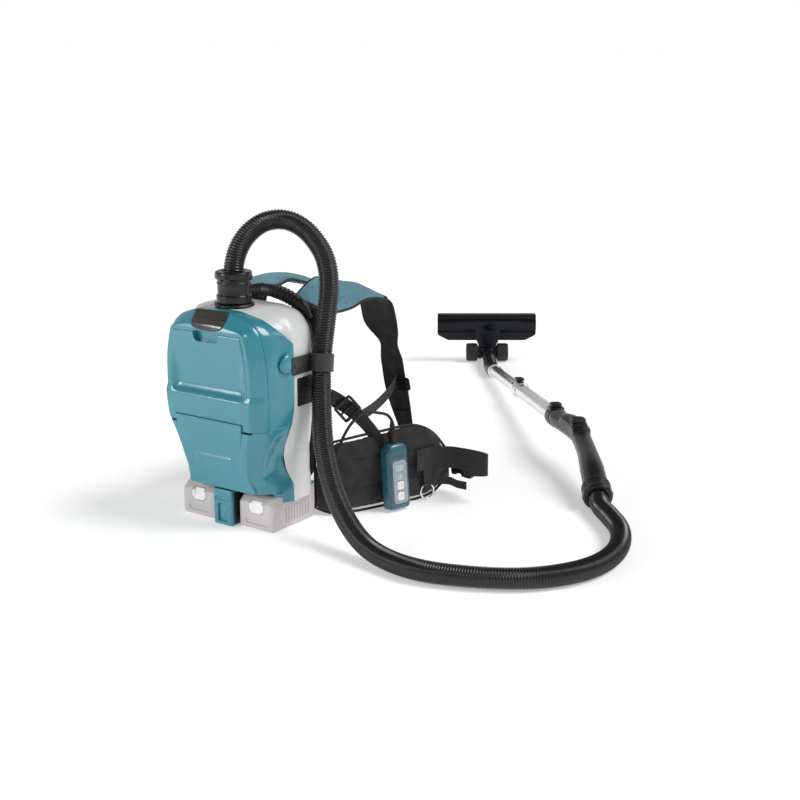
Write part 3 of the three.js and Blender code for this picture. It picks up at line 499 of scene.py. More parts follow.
# Each look: its material slot, the kind of material, its name, colour and settings.
LOOKS = {
    "teal": ("teal_plastic", plastic, "teal_plastic", (0.03, 0.228, 0.288),
             dict(rough=(0.2, 0.28), grain=(700, 0.02), coat=0.5, wear_and_highlight=0.0)),
    "white": ("white_plastic", plastic, "white_plastic", (0.66, 0.675, 0.67),
              dict(rough=(0.3, 0.42), grain=(800, 0.03), coat=0.1, wear_and_highlight=0.1)),
    "smoke": ("smoke_plastic", plastic, "smoke_plastic", (0.038, 0.035, 0.034),
              dict(rough=(0.1, 0.2), grain=(500, 0.02), coat=0.5)),
    "black": ("black_plastic", plastic, "black_plastic", (0.007, 0.0074, 0.008),
              dict(rough=(0.36, 0.5), grain=(1600, 0.06))),
    "satin_black": ("black_plastic", plastic, "satin_black_plastic", (0.007, 0.0078, 0.0094),
                    dict(rough=(0.2, 0.32), grain=(1300, 0.04), shine=0.4)),
    "grey": ("grey_plastic", plastic, "grey_plastic", (0.032, 0.032, 0.034),
             dict(rough=(0.3, 0.45), grain=(1200, 0.04))),
    "pale": ("battery_plastic", plastic, "battery_plastic", (0.535, 0.51, 0.512),
             dict(rough=(0.35, 0.5), grain=(900, 0.04), coat=0.1, wear_and_highlight=0.1)),
    "button": ("button_plastic", plastic, "button_plastic", (0.86, 0.86, 0.87),
               dict(rough=(0.3, 0.42), grain=(900, 0.02), wear_and_highlight=0.1)),
    "deep_teal": ("teal_plastic", plastic, "deep_teal_plastic", (0.024, 0.115, 0.15),
                  dict(rough=(0.22, 0.34), grain=(700, 0.03), coat=0.3)),
    "keypad": ("grey_plastic", plastic, "keypad_plastic", (0.33, 0.37, 0.40),
               dict(rough=(0.3, 0.45), grain=(900, 0.03), wear_and_highlight=0.2)),
    # The hose's paler rib crests are a painted highlight, made by the plastic's edge lightening.
    "hose": ("hose_plastic", plastic, "hose_plastic", (0.007, 0.007, 0.0075),
             dict(rough=(0.2, 0.3), grain=(900, 0.02), wear_and_highlight=0.6)),
    "rubber": ("soft_rubber", plastic, "soft_rubber", (0.011, 0.011, 0.012),
               dict(rough=(0.55, 0.75), grain=(1400, 0.08))),
    "cloth": ("harness_fabric", fabric, "harness_fabric", (0.017, 0.0172, 0.018), {}),
    "teal_cloth": ("strap_fabric", fabric, "strap_fabric", (0.1, 0.262, 0.332), dict(thread=1.5, sheen=0.15)),
    "binding": ("webbing", tape, "binding_tape", (0.012, 0.012, 0.014), dict(rib=1.1)),
    "webbing": ("webbing", tape, "webbing_tape", (0.0125, 0.0125, 0.013), {}),
    "paper": ("filter_paper", fabric, "filter_paper", (0.68, 0.60, 0.45), dict(thread=0.8, crease=2.5)),
    "bristle": ("brush_fibre", fabric, "brush_fibre", (0.022, 0.022, 0.024), dict(thread=0.9)),
    "steel": ("steel", metal, "brushed_steel", (0.56, 0.57, 0.59), dict(rough=(0.25, 0.4), brushed=1.0)),
    "chrome": ("chrome", metal, "polished_chrome", (0.86, 0.87, 0.89), dict(rough=(0.12, 0.24), brushed=0.4)),
    "window": ("smoke_plastic", plastic, "window_lacquer", (0.42, 0.50, 0.54),
               dict(rough=(0.1, 0.2), grain=(400, 0.01), coat=0.6, wear_and_highlight=0.1)),
    "nozzle": ("black_plastic", plastic, "nozzle_plastic", (0.003, 0.0042, 0.006),
               dict(rough=(0.16, 0.26), grain=(1300, 0.03), shine=0.22)),
    "dark_steel": ("steel", metal, "blackened_steel", (0.06, 0.06, 0.065), dict(rough=(0.35, 0.5))),
    "pipe": ("chrome", metal, "drawn_pipe", (0.84, 0.84, 0.87), dict(rough=(0.2, 0.25))),
    "circuit": ("circuit", plastic, "circuit_lacquer", (0.03, 0.12, 0.05),
                dict(rough=(0.25, 0.4), grain=(300, 0.12))),
}
materials = {look: kind(name, color, **settings) for look, (_, kind, name, color, settings) in LOOKS.items()}


def dress(piece, look, body, node=None, smooth=38):
    """Last step for each piece: shaded, given its look and set on its body, in place of a CAD node."""
    for polygon in piece.data.polygons:
        polygon.use_smooth = True
    piece.data.set_sharp_from_angle(angle=math.radians(smooth))
    piece.data.materials.clear()
    piece.data.materials.append(materials[look])
    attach(piece, body)
    if node:
        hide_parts(node)


# ---------------------------------------------------------------- casing

# The case as rows from the top edge down to the skirt: heights at the front, side and rear, half widths from
# the front face back to the rear wall, and the front face's y.
CASE_ROWS = np.array([
    (353, 371, 373, 38, 40, 42, 44, 56, -74), (350, 359, 366, 62, 72, 80, 82, 86, -75),
    (342, 346, 352, 76, 87, 94, 97, 103, -76), (324, 327, 331, 82, 96, 103, 106, 113, -76),
    (290, 290, 290, 88, 103.5, 109.5, 112, 115, -76), (242, 242, 242, 90, 107, 112, 114.5, 115, -75),
    (230, 230, 230, 90, 107.5, 112, 114.5, 115, -79), (192, 192, 192, 87, 107, 112, 114.5, 114, -77),
    (155, 155, 155, 76, 94, 107, 108, 111, -71), (125, 125, 125, 69, 82, 95, 100, 107, -66),
    (92, 92, 92, 65, 76, 87, 100, 107, -58), (70, 70, 70, 72, 79, 86, 105, 110, -51),
    (48, 48, 48, 72, 79, 86, 106, 111, -49),
], float)
# Border between the teal and the white shell, as (height, y).
BORDER = np.array([(30, 6), (78, 8), (105, -2), (150, -8), (183, 0), (251, 2), (318, 4), (339, -11),
                   (372, -34), (400, -34)], float)
WALL, SEAM_GAP = 3, 0.7
SIDE_START, SEAM_Y, REAR_START = -38, -52, 44
COVER_FOOT, SLOT_FOOT, SKIRT_TOP = 182, 178, 66
TONGUE_TOP, TONGUE_RISE, CROWN = 193, 2.4, 1.2
# Shares of the front face's half width, at which its grid has a column.
TONGUE_EDGE, GAP_EDGE, PANEL_EDGE, TOLERANCE = 0.872, 0.88, 0.964, 0.001
HALF_ACROSS = [0.0, 0.1, 0.2, 0.3, 0.38, 0.44, 0.48, 0.52, 0.56, 0.6, 0.66, 0.72, 0.78, 0.83,
               TONGUE_EDGE, GAP_EDGE, 0.92, 0.952, PANEL_EDGE, 0.98, 1]
ACROSS = np.array([-f for f in HALF_ACROSS[:0:-1]] + HALF_ACROSS)
LEVEL_BREAKS = [371, 359, 346, 342, 340, 338, 336, 327, 290, 262, 243, 229, TONGUE_TOP + 0.3,
                TONGUE_TOP - 0.4, COVER_FOOT, COVER_FOOT - SEAM_GAP, SLOT_FOOT, 155, 129, 126, 92, 80.6, 79.6,
                SKIRT_TOP, 48]
LEVEL_STEP, STATION_COUNT, FINE_STEPS, LOWER_SEAM_SHARE = 2.6, 10, 500, 0.554
# Columns of the side grid on which a shell ends: lid seam, battery bay and the border with the white shell.
SEAM_COLUMN, BAY_COLUMN, BORDER_COLUMN, SLOT_COLUMN = 10, 15, 19, 5
OTHER_SIDE = np.array([-1, 1, 1])


def case_stations(rows):
    """For each row, its points from the flat of the front face back to the rear wall."""
    z_front, z_side, z_rear, front, flank, side, mid, rear, face = rows.T
    z_front = np.minimum(z_front, 340.5 + 0.28 * (z_side - 340))
    top = z_side > 345
    drop = z_rear > 340
    stations = [
        (front - 3.5, face, z_front), (front, face, z_front),
        (front * 0.62 + flank * 0.38, face + 6 + 3 * top, (z_front + z_side) / 2),
        (flank, (face + SIDE_START) / 2, z_side), (side, SIDE_START, z_side), (mid, -4, z_side + 0.5),
        (rear, 8, z_rear), (rear, REAR_START, z_rear), (rear - 9, 66, z_rear - 4 * drop),
        (rear - 32, 76, z_rear - 14 * drop),
    ]
    return np.stack([np.stack(np.broadcast_arrays(*s), axis=-1) for s in stations], axis=1)


def case_levels():
    levels = [float(LEVEL_BREAKS[0])]
    for top, foot in zip(LEVEL_BREAKS[:-1], LEVEL_BREAKS[1:]):
        steps = max(1, int(math.ceil((top - foot) / LEVEL_STEP)))
        levels += list(np.linspace(top, foot, steps + 1)[1:])
    return np.array(levels)


def case_columns(points, level):
    """Points of one row at the fixed columns. Columns follow the seams, so each shell ends on a grid line."""
    length = running_length(points)
    at = np.linspace(0, length[-1], FINE_STEPS)
    y_of = np.maximum.accumulate(monotone(length, points, at)[:, 1])
    edge = points[2, 1]
    seam = SEAM_Y if level >= COVER_FOOT else edge + LOWER_SEAM_SHARE * (SIDE_START - edge)
    border = np.interp(level, BORDER[:, 0], BORDER[:, 1])
    ys = []
    for start, end, shares in (
            (edge, seam, (0.25, 0.5, 0.75, 1)), (seam + SEAM_GAP, SIDE_START, (0, 0.5, 1)),
            (SIDE_START, border, (0.06, 0.28, 0.46, 0.64, 0.82, 1)),
            (border + 0.5, REAR_START, (0, 0.14, 0.28, 0.43, 0.57, 0.71, 0.86, 1))):
        ys += [start + (end - start) * share for share in shares]
    front, rear = (np.interp(stations, range(STATION_COUNT), length) for stations in (
        (0, 0.5, 1, 1.25, 1.5, 1.75, 2), np.linspace(7, STATION_COUNT - 1, 9)[1:]))
    return monotone(length, points, np.concatenate([front, np.interp(ys, y_of, at), rear]))


def case_surface():
    levels = case_levels()
    rows = monotone(-CASE_ROWS[:, 1], case_stations(CASE_ROWS), -levels)
    return levels, np.stack([case_columns(row, level) for row, level in zip(rows, levels)])


def shape_details(right, levels):
    """Raised side panel with a flared lip, a hollow lower flank and the stepped skirt."""
    r = right.copy()
    y, z = r[..., 1], r[..., 2]
    border = np.interp(levels, BORDER[:, 0], BORDER[:, 1])[:, None]
    panel = smoothstep(z, 181, 185) * smoothstep(-z, -352, -338)
    panel = panel * smoothstep(y, SIDE_START - 2, SIDE_START + 1)
    lip = np.clip((y - border + 17) / 17, 0, 1) * smoothstep(z, 184, 215) * smoothstep(-z, -350, -330)
    hollow = smoothstep(-z, -176, -140) * smoothstep(z, 80, 104) * smoothstep(y, -48, -28)
    hollow = hollow * (1 - 0.75 * smoothstep(y, border - 12, border))
    skirt = (1 - smoothstep(z, 79.6, 80.6)) * (y < -30)
    r[..., 0] += (1.5 * panel + 3.6 * lip - 8.0 * hollow - 1.4 * skirt) * (y < border + 0.2)
    r[..., 1] += 1.8 * skirt
    return r


def front_relief(shell, x, z, half):
    """How far the front face stands out at a point, with `half` the half width of the face there."""
    if shell == "cover":
        from_edge = half * PANEL_EDGE - abs(x)
        panel = 1.6 * smoothstep(from_edge, -0.1, 0.6) * (1 - smoothstep(z, 335.6, 337.2))
        ledge = 8.2 * smoothstep(-z, -312, -252) * smoothstep(from_edge, -0.1, 14)
        return (panel - ledge) * np.clip((z - 229) / 18, 0, 1)
    ridge = smoothstep(z, 100, 126) * (1 - smoothstep(z, 126, 129)) * (1 - smoothstep(abs(x), 38, 43))
    return TONGUE_RISE * smoothstep(z, 140, 180) + 2.2 * ridge


def shell_of(column, z, on_tongue=False):
    """The shell that a face of the grid belongs to, or None in a gap."""
    if column > BORDER_COLUMN:
        return "rear"
    if column == BORDER_COLUMN or column == SEAM_COLUMN and z > COVER_FOOT - SEAM_GAP:
        return None
    if column > SEAM_COLUMN:
        return "front" if z > SKIRT_TOP or column >= BAY_COLUMN else None
    if z < SKIRT_TOP:
        return None
    foot, top = COVER_FOOT, SLOT_FOOT if column < SLOT_COLUMN else COVER_FOOT - SEAM_GAP
    if on_tongue:
        foot, top = TONGUE_TOP + 0.3, TONGUE_TOP - 0.4
    return "cover" if z > foot else "front" if z < top else None


def case_quads():
    """Quads of the whole case, sorted into their shells. Those that fall in a gap come under None."""
    levels, right = case_surface()
    right = shape_details(right, levels)
    shells = {"cover": [], "front": [], "rear": [], None: []}
    strips = range(len(ACROSS) - 1)
    for i in range(len(levels) - 1):
        z = (levels[i] + levels[i + 1]) / 2
        for c in range(right.shape[1] - 1):
            quad = right[i, c], right[i + 1, c], right[i + 1, c + 1], right[i, c + 1]
            shells[shell_of(c, z)] += [quad, tuple(p * OTHER_SIDE for p in quad[::-1])]
        for k in strips:
            middle = abs(ACROSS[k] + ACROSS[k + 1]) / 2
            shell = shell_of(0, z, middle < TONGUE_EDGE + TOLERANCE)
            if TONGUE_EDGE < middle < GAP_EDGE and COVER_FOOT - SEAM_GAP < z < TONGUE_TOP + 0.3:
                shell = None
            corners = []
            for row, f in ((i, k), (i + 1, k), (i + 1, k + 1), (i, k + 1)):
                point = right[row, 0] * (ACROSS[f], 1, 1)
                if shell == "cover" or abs(ACROSS[f]) < TONGUE_EDGE + TOLERANCE:
                    point = point - (0, front_relief(shell, point[0], point[2], right[row, 0, 0]), 0)
                corners.append(point)
            shells[shell].append(tuple(corners))
            shells["rear"].append(tuple(right[row, -1] * (ACROSS[f], 1, 1)
                                        for row, f in ((i, k), (i, k + 1), (i + 1, k + 1), (i + 1, k))))
    for c in range(right.shape[1] - 1):
        for k in strips:
            shells[shell_of(c, levels[0])].append(tuple(
                right[0, column] * (ACROSS[f], 1, 1) + (0, 0, CROWN * (1 - ACROSS[f] ** 2))
                for column, f in ((c, k), (c, k + 1), (c + 1, k + 1), (c + 1, k))))
    return shells


def shell_piece(name, quads):
    """Moulded shell: the outer surface given its wall thickness, with softened rims."""
    vertices = np.array(quads).reshape(-1, 3)
    made = clean(build(name, vertices, np.arange(len(vertices)).reshape(-1, 4)), weld=0.02, outward=False)
    modify(made, "SOLIDIFY", thickness=WALL * MM, offset=-1, use_even_offset=False)
    return bevel(made, 0.8, 2, 50)


def top_profile():
    """The casing's centre line from the front face at z 318 up and back to the border: (y, z, half width).
    The flat of the front face has no crown, and its half width is given as 200 to say so."""
    levels, right = case_surface()
    face = [(p[1], p[2], 200.0) for p in right[:, 0][levels > 318][::-1]]
    return np.array(face + [(p[1], p[2], p[0]) for p in right[0][1:BORDER_COLUMN]])


LATCH_FOOT, LATCH_BACK, LATCH_HALF = 342, -54.3, 36
TOP_LINE = top_profile()
TOP_LENGTH = running_length(TOP_LINE[:, :2])
TOP_LENGTH -= np.interp(LATCH_FOOT, TOP_LINE[:20, 1], TOP_LENGTH[:20])
LATCH_END = float(np.interp(LATCH_BACK, TOP_LINE[:, 0], TOP_LENGTH))


def on_top(x, s):
    """Point and outward normal of the casing at x, and at s along its centre line from the latch's foot."""
    y, z, half = (np.interp(s, TOP_LENGTH, TOP_LINE[:, k]) for k in range(3))
    z = z + (CROWN * (1 - min(1, abs(x) / half) ** 2) if half < 199 else 0)
    ahead = unit([np.subtract(*np.interp((s + 1.5, s - 1.5), TOP_LENGTH, TOP_LINE[:, k])) for k in (0, 1)])
    return np.array([x, y, z]), np.array([0, -ahead[1], ahead[0]])


def latch_patch(name, grow, low, high):
    """Curved plate over the case's top front edge, with a bowed lower edge and slanting sides."""
    across, along = 29, 25
    count = across * along
    points, faces = [], []
    for lift in (low, high):
        for w in np.linspace(0, 1, along):
            for u in np.linspace(-1, 1, across):
                s = -grow + w * (LATCH_END + 2 * grow) + (1 - w) ** 2 * 5.5 * abs(u) ** 3
                point, normal = on_top(u * (LATCH_HALF + grow - 3.5 * (1 - w) ** 2), s)
                fold = 1.5 * max(0.0, 1 - abs(w - 0.46) / 0.46) if lift == high else 0
                points.append(point + normal * (lift + fold))
    for j in range(along - 1):
        for a in range(j * across, j * across + across - 1):
            faces.append((a, a + across, a + across + 1, a + 1))
            faces.append(tuple(count + k for k in (a, a + 1, a + across + 1, a + across)))
    rim = list(range(across)) + [j * across + across - 1 for j in range(1, along)]
    rim += [count - 1 - i for i in range(1, across)] + [j * across for j in range(along - 2, 0, -1)]
    faces += [(a, b, b + count, a + count) for a, b in zip(rim, rim[1:] + rim[:1])]
    return clean(build(name, points, faces))


def recess_outline(grow):
    """Finger recess under the latch."""
    corners = np.array([(-29, 340), (29, 340), (25, 325), (19, 322.5), (-19, 322.5), (-25, 325)])
    centre = np.array([0, 331])
    return rounded_loop(centre + (corners - centre) * (1 + grow / 26, 1 + grow / 8), 3.5)


shells = case_quads()
cover, front, rear = (shell_piece(f"{name}_shell", shells[name]) for name in ("cover", "front", "rear"))
boolean(cover, plate("pocket_wall", recess_outline(2.5), 64.5, 75.2, upright(0, 0)), "UNION")
cut(cover, recess_outline(0), 67.5, 90, upright(0, 0))
boolean(cover, latch_patch("latch_seat", 0.5, -2.2, 6))
latch = bevel(latch_patch("latch", 0, -1.8, 1.3), 0.9, 3)
dress(cover, "teal", "cover", "dust_cover")
dress(front, "teal", "unit", "front_case")
dress(rear, "white", "unit", "rear_case")
dress(latch, "smoke", "latch", "cover_latch")


# ---------------------------------------------------------------- vents, batteries and their mount

VENT_Y, VENT_Z = (15.5, 53.6), (211, 259)


def side_vent():
    """Louvred grille in the side of the case."""
    deep, tall = VENT_Y[1] - VENT_Y[0], VENT_Z[1] - VENT_Z[0]
    middle = sum(VENT_Y) / 2
    made = plate("vent", rounded_rect(tall, deep, 2.5), 111.5, 115.6, sideways(middle, sum(VENT_Z) / 2))
    for z in np.arange(VENT_Z[0] + 5.5, VENT_Z[1] - 4, 5.6):
        cut(made, rounded_rect(2.4, deep - 7, 1.1), 115.1, 120, sideways(middle, z))
    return bevel(made, 0.35)


def battery_mount():
    """Post between the two packs, with a stepped, framed front, and the roof plate over the bay."""
    post = plate("post", rounded_rect(41, 122, 4), 0.4, 63, placed(0, 11, 0), 1.2, 3)
    cut(post, rounded_rect(20, 32, 3), 46.2, 60, upright(0, 22))
    cut(post, rounded_rect(31, 5, 1.2), 48.4, 60, upright(0, 46))
    insert = plate("insert", rounded_rect(17.5, 29, 2.4), 44, 47.6, upright(0, 22), 0.8)
    roof = plate("roof", rounded_rect(206, 94, 6), 61, 65.6, placed(0, 27, 0), 0.8)
    return bevel(join("battery_post", post, insert, roof), 0.4, 2, 50)


def post_cheeks():
    """Dark slide plates with two rails on both sides of the post."""
    cheeks = []
    for x in (20.3, -21.5):
        cheeks.append(plate("cheek", rounded_rect(56, 112, 3), x, x + 1.2, sideways(12, 31), 0.4))
        for z in (18, 44):
            cheeks.append(plate("rail", rounded_rect(4, 104, 1.4), x - 0.9, x + 2.1, sideways(12, z), 0.4))
    return join("post_cheeks", *cheeks)


PACK_INNER, PACK_OUTER, BUTTON_X, BUTTON_Z = 27.3, 101.7, 64.5, 40


def button_outline(grow):
    """Window with notched corners."""
    x, z, notch = 15.5 + grow, 10.5 + grow, 4
    quarter = [(x, z - notch), (x - notch, z - notch), (x - notch, z)]
    corners = quarter + [(-a, b) for a, b in quarter[::-1]] + [(-a, -b) for a, b in quarter]
    return rounded_loop(corners + [(a, -b) for a, b in quarter[::-1]], 1.5, 3)


def battery():
    """Battery pack: chamfered front, rounded ends, side ribs and a seat for its release button."""
    side = [(-36, 0.5), (-30, 0.5), (70, 0.5), (76, 4), (76, 56), (72, 60), (-22, 60), (-38, 46), (-38, 4)]
    outline = rounded_loop(side, 3)
    away = outline - outline.mean(0)
    rings = []
    for x, shrink in ((PACK_INNER, 2.2), (PACK_INNER + 1.2, 0.8), (PACK_INNER + 3, 0), (PACK_OUTER - 4, 0),
                      (PACK_OUTER - 1.5, 1.2), (PACK_OUTER, 3.2)):
        scaled = outline.mean(0) + away * (1 - shrink / np.abs(away).max(0))
        rings.append(np.column_stack([np.full(len(scaled), x), scaled]))
    made = loft("pack", rings)
    cut(made, button_outline(1.0), 15, 60, upright(BUTTON_X, BUTTON_Z))
    cut(made, rounded_rect(46, 9, 2), 36.6, 60, upright(BUTTON_X, 14))
    for y in np.arange(-6, 60, 7.5):
        cut(made, rounded_rect(5.4, 26, 1.5), 100.6, 110, sideways(y, 24) @ placed(0, 0, 0, turn_z=90))
    return bevel(made, 0.6, 2, 35)


def battery_button():
    """Release button, following the pack's sloping front."""
    made = plate("button", button_outline(0), 25.5, 39, upright(BUTTON_X, BUTTON_Z), 1.1, 3)
    return press(made, lambda p: p + np.maximum(0, p[:, 2:] - 45) * (0, 1.1, 0))


for make, look, bodies, nodes in (
        (side_vent, "black", ("unit", "unit"), "side_vent"),
        (battery, "pale", ("battery_left", "battery_right"), "battery_pack"),
        (battery_button, "button", ("battery_button_left", "battery_button_right"), "battery_button")):
    piece = make()
    dress(mirror(piece, f"{piece.name}_left"), look, bodies[0], f"{nodes}_l")
    dress(piece, look, bodies[1], f"{nodes}_r")
dress(post_cheeks(), "black", "unit")
dress(battery_mount(), "teal", "unit", "battery_mount")


# ---------------------------------------------------------------- inlet, cuff, handle, strap band and hook

INLET = (0, -4, 0)


def inlet_port():
    """Pipe stub with a bolted base flange."""
    profile = rounded_profile([(20, 339), (22, 339), (22, 372.6), (33, 372.6), (33.5, 375), (31.5, 377.6),
                               (24, 377.9), (24, 391.6), (20, 391.6)], 1.0)
    lugs = [put(plate("lug", rounded_rect(9, 8, 2), 0, 3, placed(30.5, 0, 374.6), 0.7),
                placed(*INLET, turn_z=turn + 20)) for turn in range(0, 360, 60)]
    return join("inlet", lathe("port", profile, INLET, segments=72), *lugs)


def swivel_cuff():
    """Turning cuff at the foot of the hose, with grip lugs round its rim."""
    profile = [(25.3, 378.6), (28.8, 378.6), (29.6, 380), (29.6, 390.5), (28.6, 392), (27.6, 392.6),
               (27.6, 409), (28.6, 410), (28.6, 412.6), (27.8, 413.4), (27.8, 416), (30.4, 419.6), (31, 421),
               (31, 427.6), (30.2, 429.8), (28.6, 431), (20.4, 431), (19.2, 429.4), (18.4, 424), (18.4, 397),
               (25.3, 393.5)]
    lugs = [put(plate("lug", rounded_rect(5, 11, 2), 417, 424, placed(30, 0, 0), 0.8),
                placed(*INLET, turn_z=turn + 20)) for turn in range(0, 360, 90)]
    return join("cuff_ring", lathe("cuff", rounded_profile(profile, 0.5, 2), INLET, segments=80), *lugs)


def carry_handle():
    """Arched grip with moulded finger ribs."""
    half = [(88, 346), (75, 362), (40, 379)]
    path = curve([(-x, 86, z) for x, z in half] + [(0, 86, 385.5)] + [(x, 86, z) for x, z in half[::-1]], 1.0)
    x = path[:, 0]
    gripped = smoothstep(-np.abs(np.abs(x) - 36), -30, -24)
    radius = 6 + 4.8 * smoothstep(-np.abs(x), -88, -66) + gripped * (0.5 + np.cos(FULL_TURN * x / 7.4))
    return tube("handle", path, radius, sides=28, side=(0, 1, 0))


def hose_strap():
    """Band round the hose with two thick edges, and its riveted tab on the side panel."""
    half = [(18.3, -15), (20.6, -15), (21, -14), (20.9, -12), (20.5, -11)]
    profile = rounded_profile(half + [(r, -z) for r, z in half[::-1]], 0.5, 2)
    band = lathe("band", profile, (133.4, 58, 281), (-0.103, 0.225, 0.969), segments=72)
    tab = plate("tab", rounded_rect(30, 58, 4), 116.6, 119.8, sideways(27, 282), 0.8)
    head = rounded_profile([(0, 0), (4.6, 0), (4.6, 1), (3.4, 2.2), (0, 2.4)], 0.8)
    return join("strap_band", band, tab, lathe("rivet", head, (119.6, 8, 282), ALONG_X, 24, loop=False))


def strap_hook():
    """Teal dome over the strap's anchor, flat at the back."""
    outline = rounded_loop([(-5, 269), (-5, 307), (-16, 305), (-27, 296), (-29.5, 288), (-27, 280),
                            (-16, 271)], 6)
    centre = np.array([-9, 288])
    rings = []
    for angle in np.linspace(0, math.pi / 2, 12):
        scale = max(0.02, math.cos(angle) ** 0.7) if angle < math.pi / 2 else 0.05
        ring = centre + (outline - centre) * scale
        rings.append(np.column_stack([np.full(len(ring), 115 + 7.5 * math.sin(angle)), ring]))
    return loft("hook", rings)


dress(inlet_port(), "black", "unit", "inlet_port")
dress(swivel_cuff(), "satin_black", "hose_cuff", "swivel_cuff")
dress(carry_handle(), "black", "unit", "carry_handle")
dress(hose_strap(), "grey", "unit", "hose_strap")
dress(strap_hook(), "teal", "unit", "strap_hook", smooth=60)


# ---------------------------------------------------------------- hose

HOSE_END = np.array([479, 398, 28.5])
HOSE_END_AXIS = unit([-0.55, 0.79, 0.28])
HOSE_PATH = [
    (0, -4, 397), (0, -4, 431), (1, 4, 458), (6, 17, 481), (15, 31, 497), (28, 45, 508), (46, 61, 512),
    (64, 73, 508), (82, 83, 496), (98, 90, 478), (112, 94, 456), (121, 94, 431), (127, 89, 396),
    (130, 76, 350), (133.4, 58, 281), (149, 37, 194), (162, 24, 153), (183, 9, 114), (211, -8, 78),
    (251, -28, 46), (300, -48, 25), (352, -62, 17.5), (418, -70, 17.5), (481, -54, 17.5), (543, -24, 17.5),
    (586, 12, 17.5), (618, 62, 17.5), (631, 110, 17.5), (629, 165, 17.5), (612, 222, 17.5),
    (583, 275, 17.5), (542, 322, 17.5), (512, 352, 18),
]
HOSE_PITCH, RINGS_PER_PITCH = 4.4, 6


def hose():
    """Ribbed hose: a crest and a valley every pitch, with its tail inside the wand's cuff."""
    tail = [HOSE_END - back * HOSE_END_AXIS for back in (34, 16, 3)]
    path = curve(HOSE_PATH + tail, HOSE_PITCH / RINGS_PER_PITCH)
    wave = np.cos(FULL_TURN * np.arange(len(path)) / RINGS_PER_PITCH)
    return tube("ribbed_hose", path, 16.5 + 0.85 * np.sign(wave) * np.abs(wave) ** 0.7, sides=28)


dress(hose(), "hose", "unit", "hose", smooth=80)


# ---------------------------------------------------------------- harness

def edges(first, second, count):
    """Two smooth edges sampled together, with the band's normal along them."""
    a, b = curve(first, count=count), curve(second, count=count)
    normal = np.cross(b - a, np.gradient(a, axis=0) + np.gradient(b, axis=0))
    return a, b, normal / np.linalg.norm(normal, axis=1)[:, None]


def band(name, a, b, normal, sections):
    """Closed band from its sampled edges. Each ring's section holds (share across, height) pairs."""
    return loft(name, [p + pairs[:, :1] * (r - p) + pairs[:, 1:] * n
                       for p, r, n, pairs in zip(a, b, normal, sections)])


def padded(low, high, steps, edge, rim):
    """Section of a padded strap: puffed on both faces, thin and bound along both edges."""
    across = np.linspace(0, 1, steps)
    inward = np.clip(np.minimum(across, 1 - across) / edge, 0, 1)
    puff = np.sqrt(1 - (1 - inward) ** 2)
    middle = (low + high) / 2
    upper = middle + rim + (high - middle - rim) * puff
    lower = middle - rim + (low - middle + rim) * puff * 0.8
    return np.concatenate([np.column_stack([across, upper]), np.column_stack([across, lower])[::-1]])


def tape_band(name, first, second, count, thick=0.9):
    """Flat webbing with thickened selvedges."""
    across = np.array([0, 0.03, 0.1, 0.5, 0.9, 0.97, 1])
    rise = np.array([0.5, 1.1, 0.8, 0.85, 0.8, 1.1, 0.5]) * thick
    section = np.concatenate([np.column_stack([across, rise]), np.column_stack([across, -rise])[::-1]])
    return band(name, *edges(first, second, count), [section] * count)


STRAP_R = (
    [(28, 100, 300), (30, 103, 345), (32, 114, 372), (32, 150, 392), (30, 180, 400), (30, 205, 396),
     (31, 250, 384), (33, 300, 369), (34, 312, 330), (40, 315, 300), (66, 318, 267), (72, 319, 246),
     (86, 320, 174), (116, 320, 104)],
    [(86, 100, 300), (88, 102, 335), (90, 110, 358), (91, 150, 350), (92, 200, 350), (94, 245, 360),
     (100, 292, 353), (100, 312, 340), (113, 318, 267), (117, 319, 245), (122, 320, 210), (127, 320, 190),
     (133, 320, 160), (141, 320, 110)])
STRAP_L = (
    [(-28, 100, 300), (-29, 102, 360), (-30, 118, 384), (-30, 150, 388), (-30, 180, 393), (-31, 210, 386),
     (-32, 255, 373), (-34, 298, 358), (-38, 314, 322), (-52, 318, 280), (-74, 319, 235), (-90, 320, 170),
     (-116, 320, 104)],
    [(-86, 100, 300), (-88, 104, 358), (-89, 120, 388), (-90, 150, 394), (-90, 185, 395), (-90, 220, 392),
     (-92, 262, 384), (-97, 304, 368), (-104, 322, 330), (-113, 322, 280), (-120, 321, 220), (-130, 320, 165),
     (-141, 320, 110)])
STRAP_RINGS, WAIST_AT, WAIST_SPREAD, CLIP_AT = 241, 0.70, 0.035, 0.84
TEAL_FROM_Y, FOLD_Y, FOLD_Z = 117, 296, 372


def strap_tape(a, b, normal, lift, width, start, stop):
    """Tape lying over a strap between two shares of its length, with raised selvedges."""
    rings = []
    for k in range(int(start * (len(a) - 1)), int(stop * (len(a) - 1))):
        across = unit(b[k] - a[k])
        at = (a[k] + b[k]) / 2 + lift * normal[k]
        rings.append([at + across * s * width + normal[k] * h for s, h in (
            (-0.5, -0.7), (-0.5, 0.8), (-0.4, 0.6), (0.4, 0.6), (0.5, 0.8), (0.5, -0.7), (0, -0.7))])
    return loft("tape", rings)


def slide_buckle(name, width, height, thick):
    """Flat ladder buckle: rounded frame with one bar between its two slots."""
    made = plate(name, rounded_rect(width, height, 5), -thick / 2, thick / 2)
    bar, rim = 2.6, 5
    gap = (height - 2 * rim - bar) / 2
    for y in (-height / 2 + rim + gap / 2, height / 2 - rim - gap / 2):
        cut(made, rounded_rect(width - 2 * rim, gap, 1.4), -20, 20, placed(0, y, 0))
    return bevel(made, 0.9, 3)


def strap_clip(word, a, b, normal, outer, sign):
    """Buckle lying on a strap's face near its foot, towards its outer edge."""
    k = int(CLIP_AT * (STRAP_RINGS - 1))
    middle = (a + b) / 2
    along, out = unit(middle[k + 2] - middle[k - 2]), normal[k] * sign
    at = middle[k] + normal[k] * (outer + sign * 1.2) + 0.47 * (b[k] - a[k])
    return put(slide_buckle(f"strap_clip_{word}", 30, 24, 4), from_axes(np.cross(along, out), along, out, at))


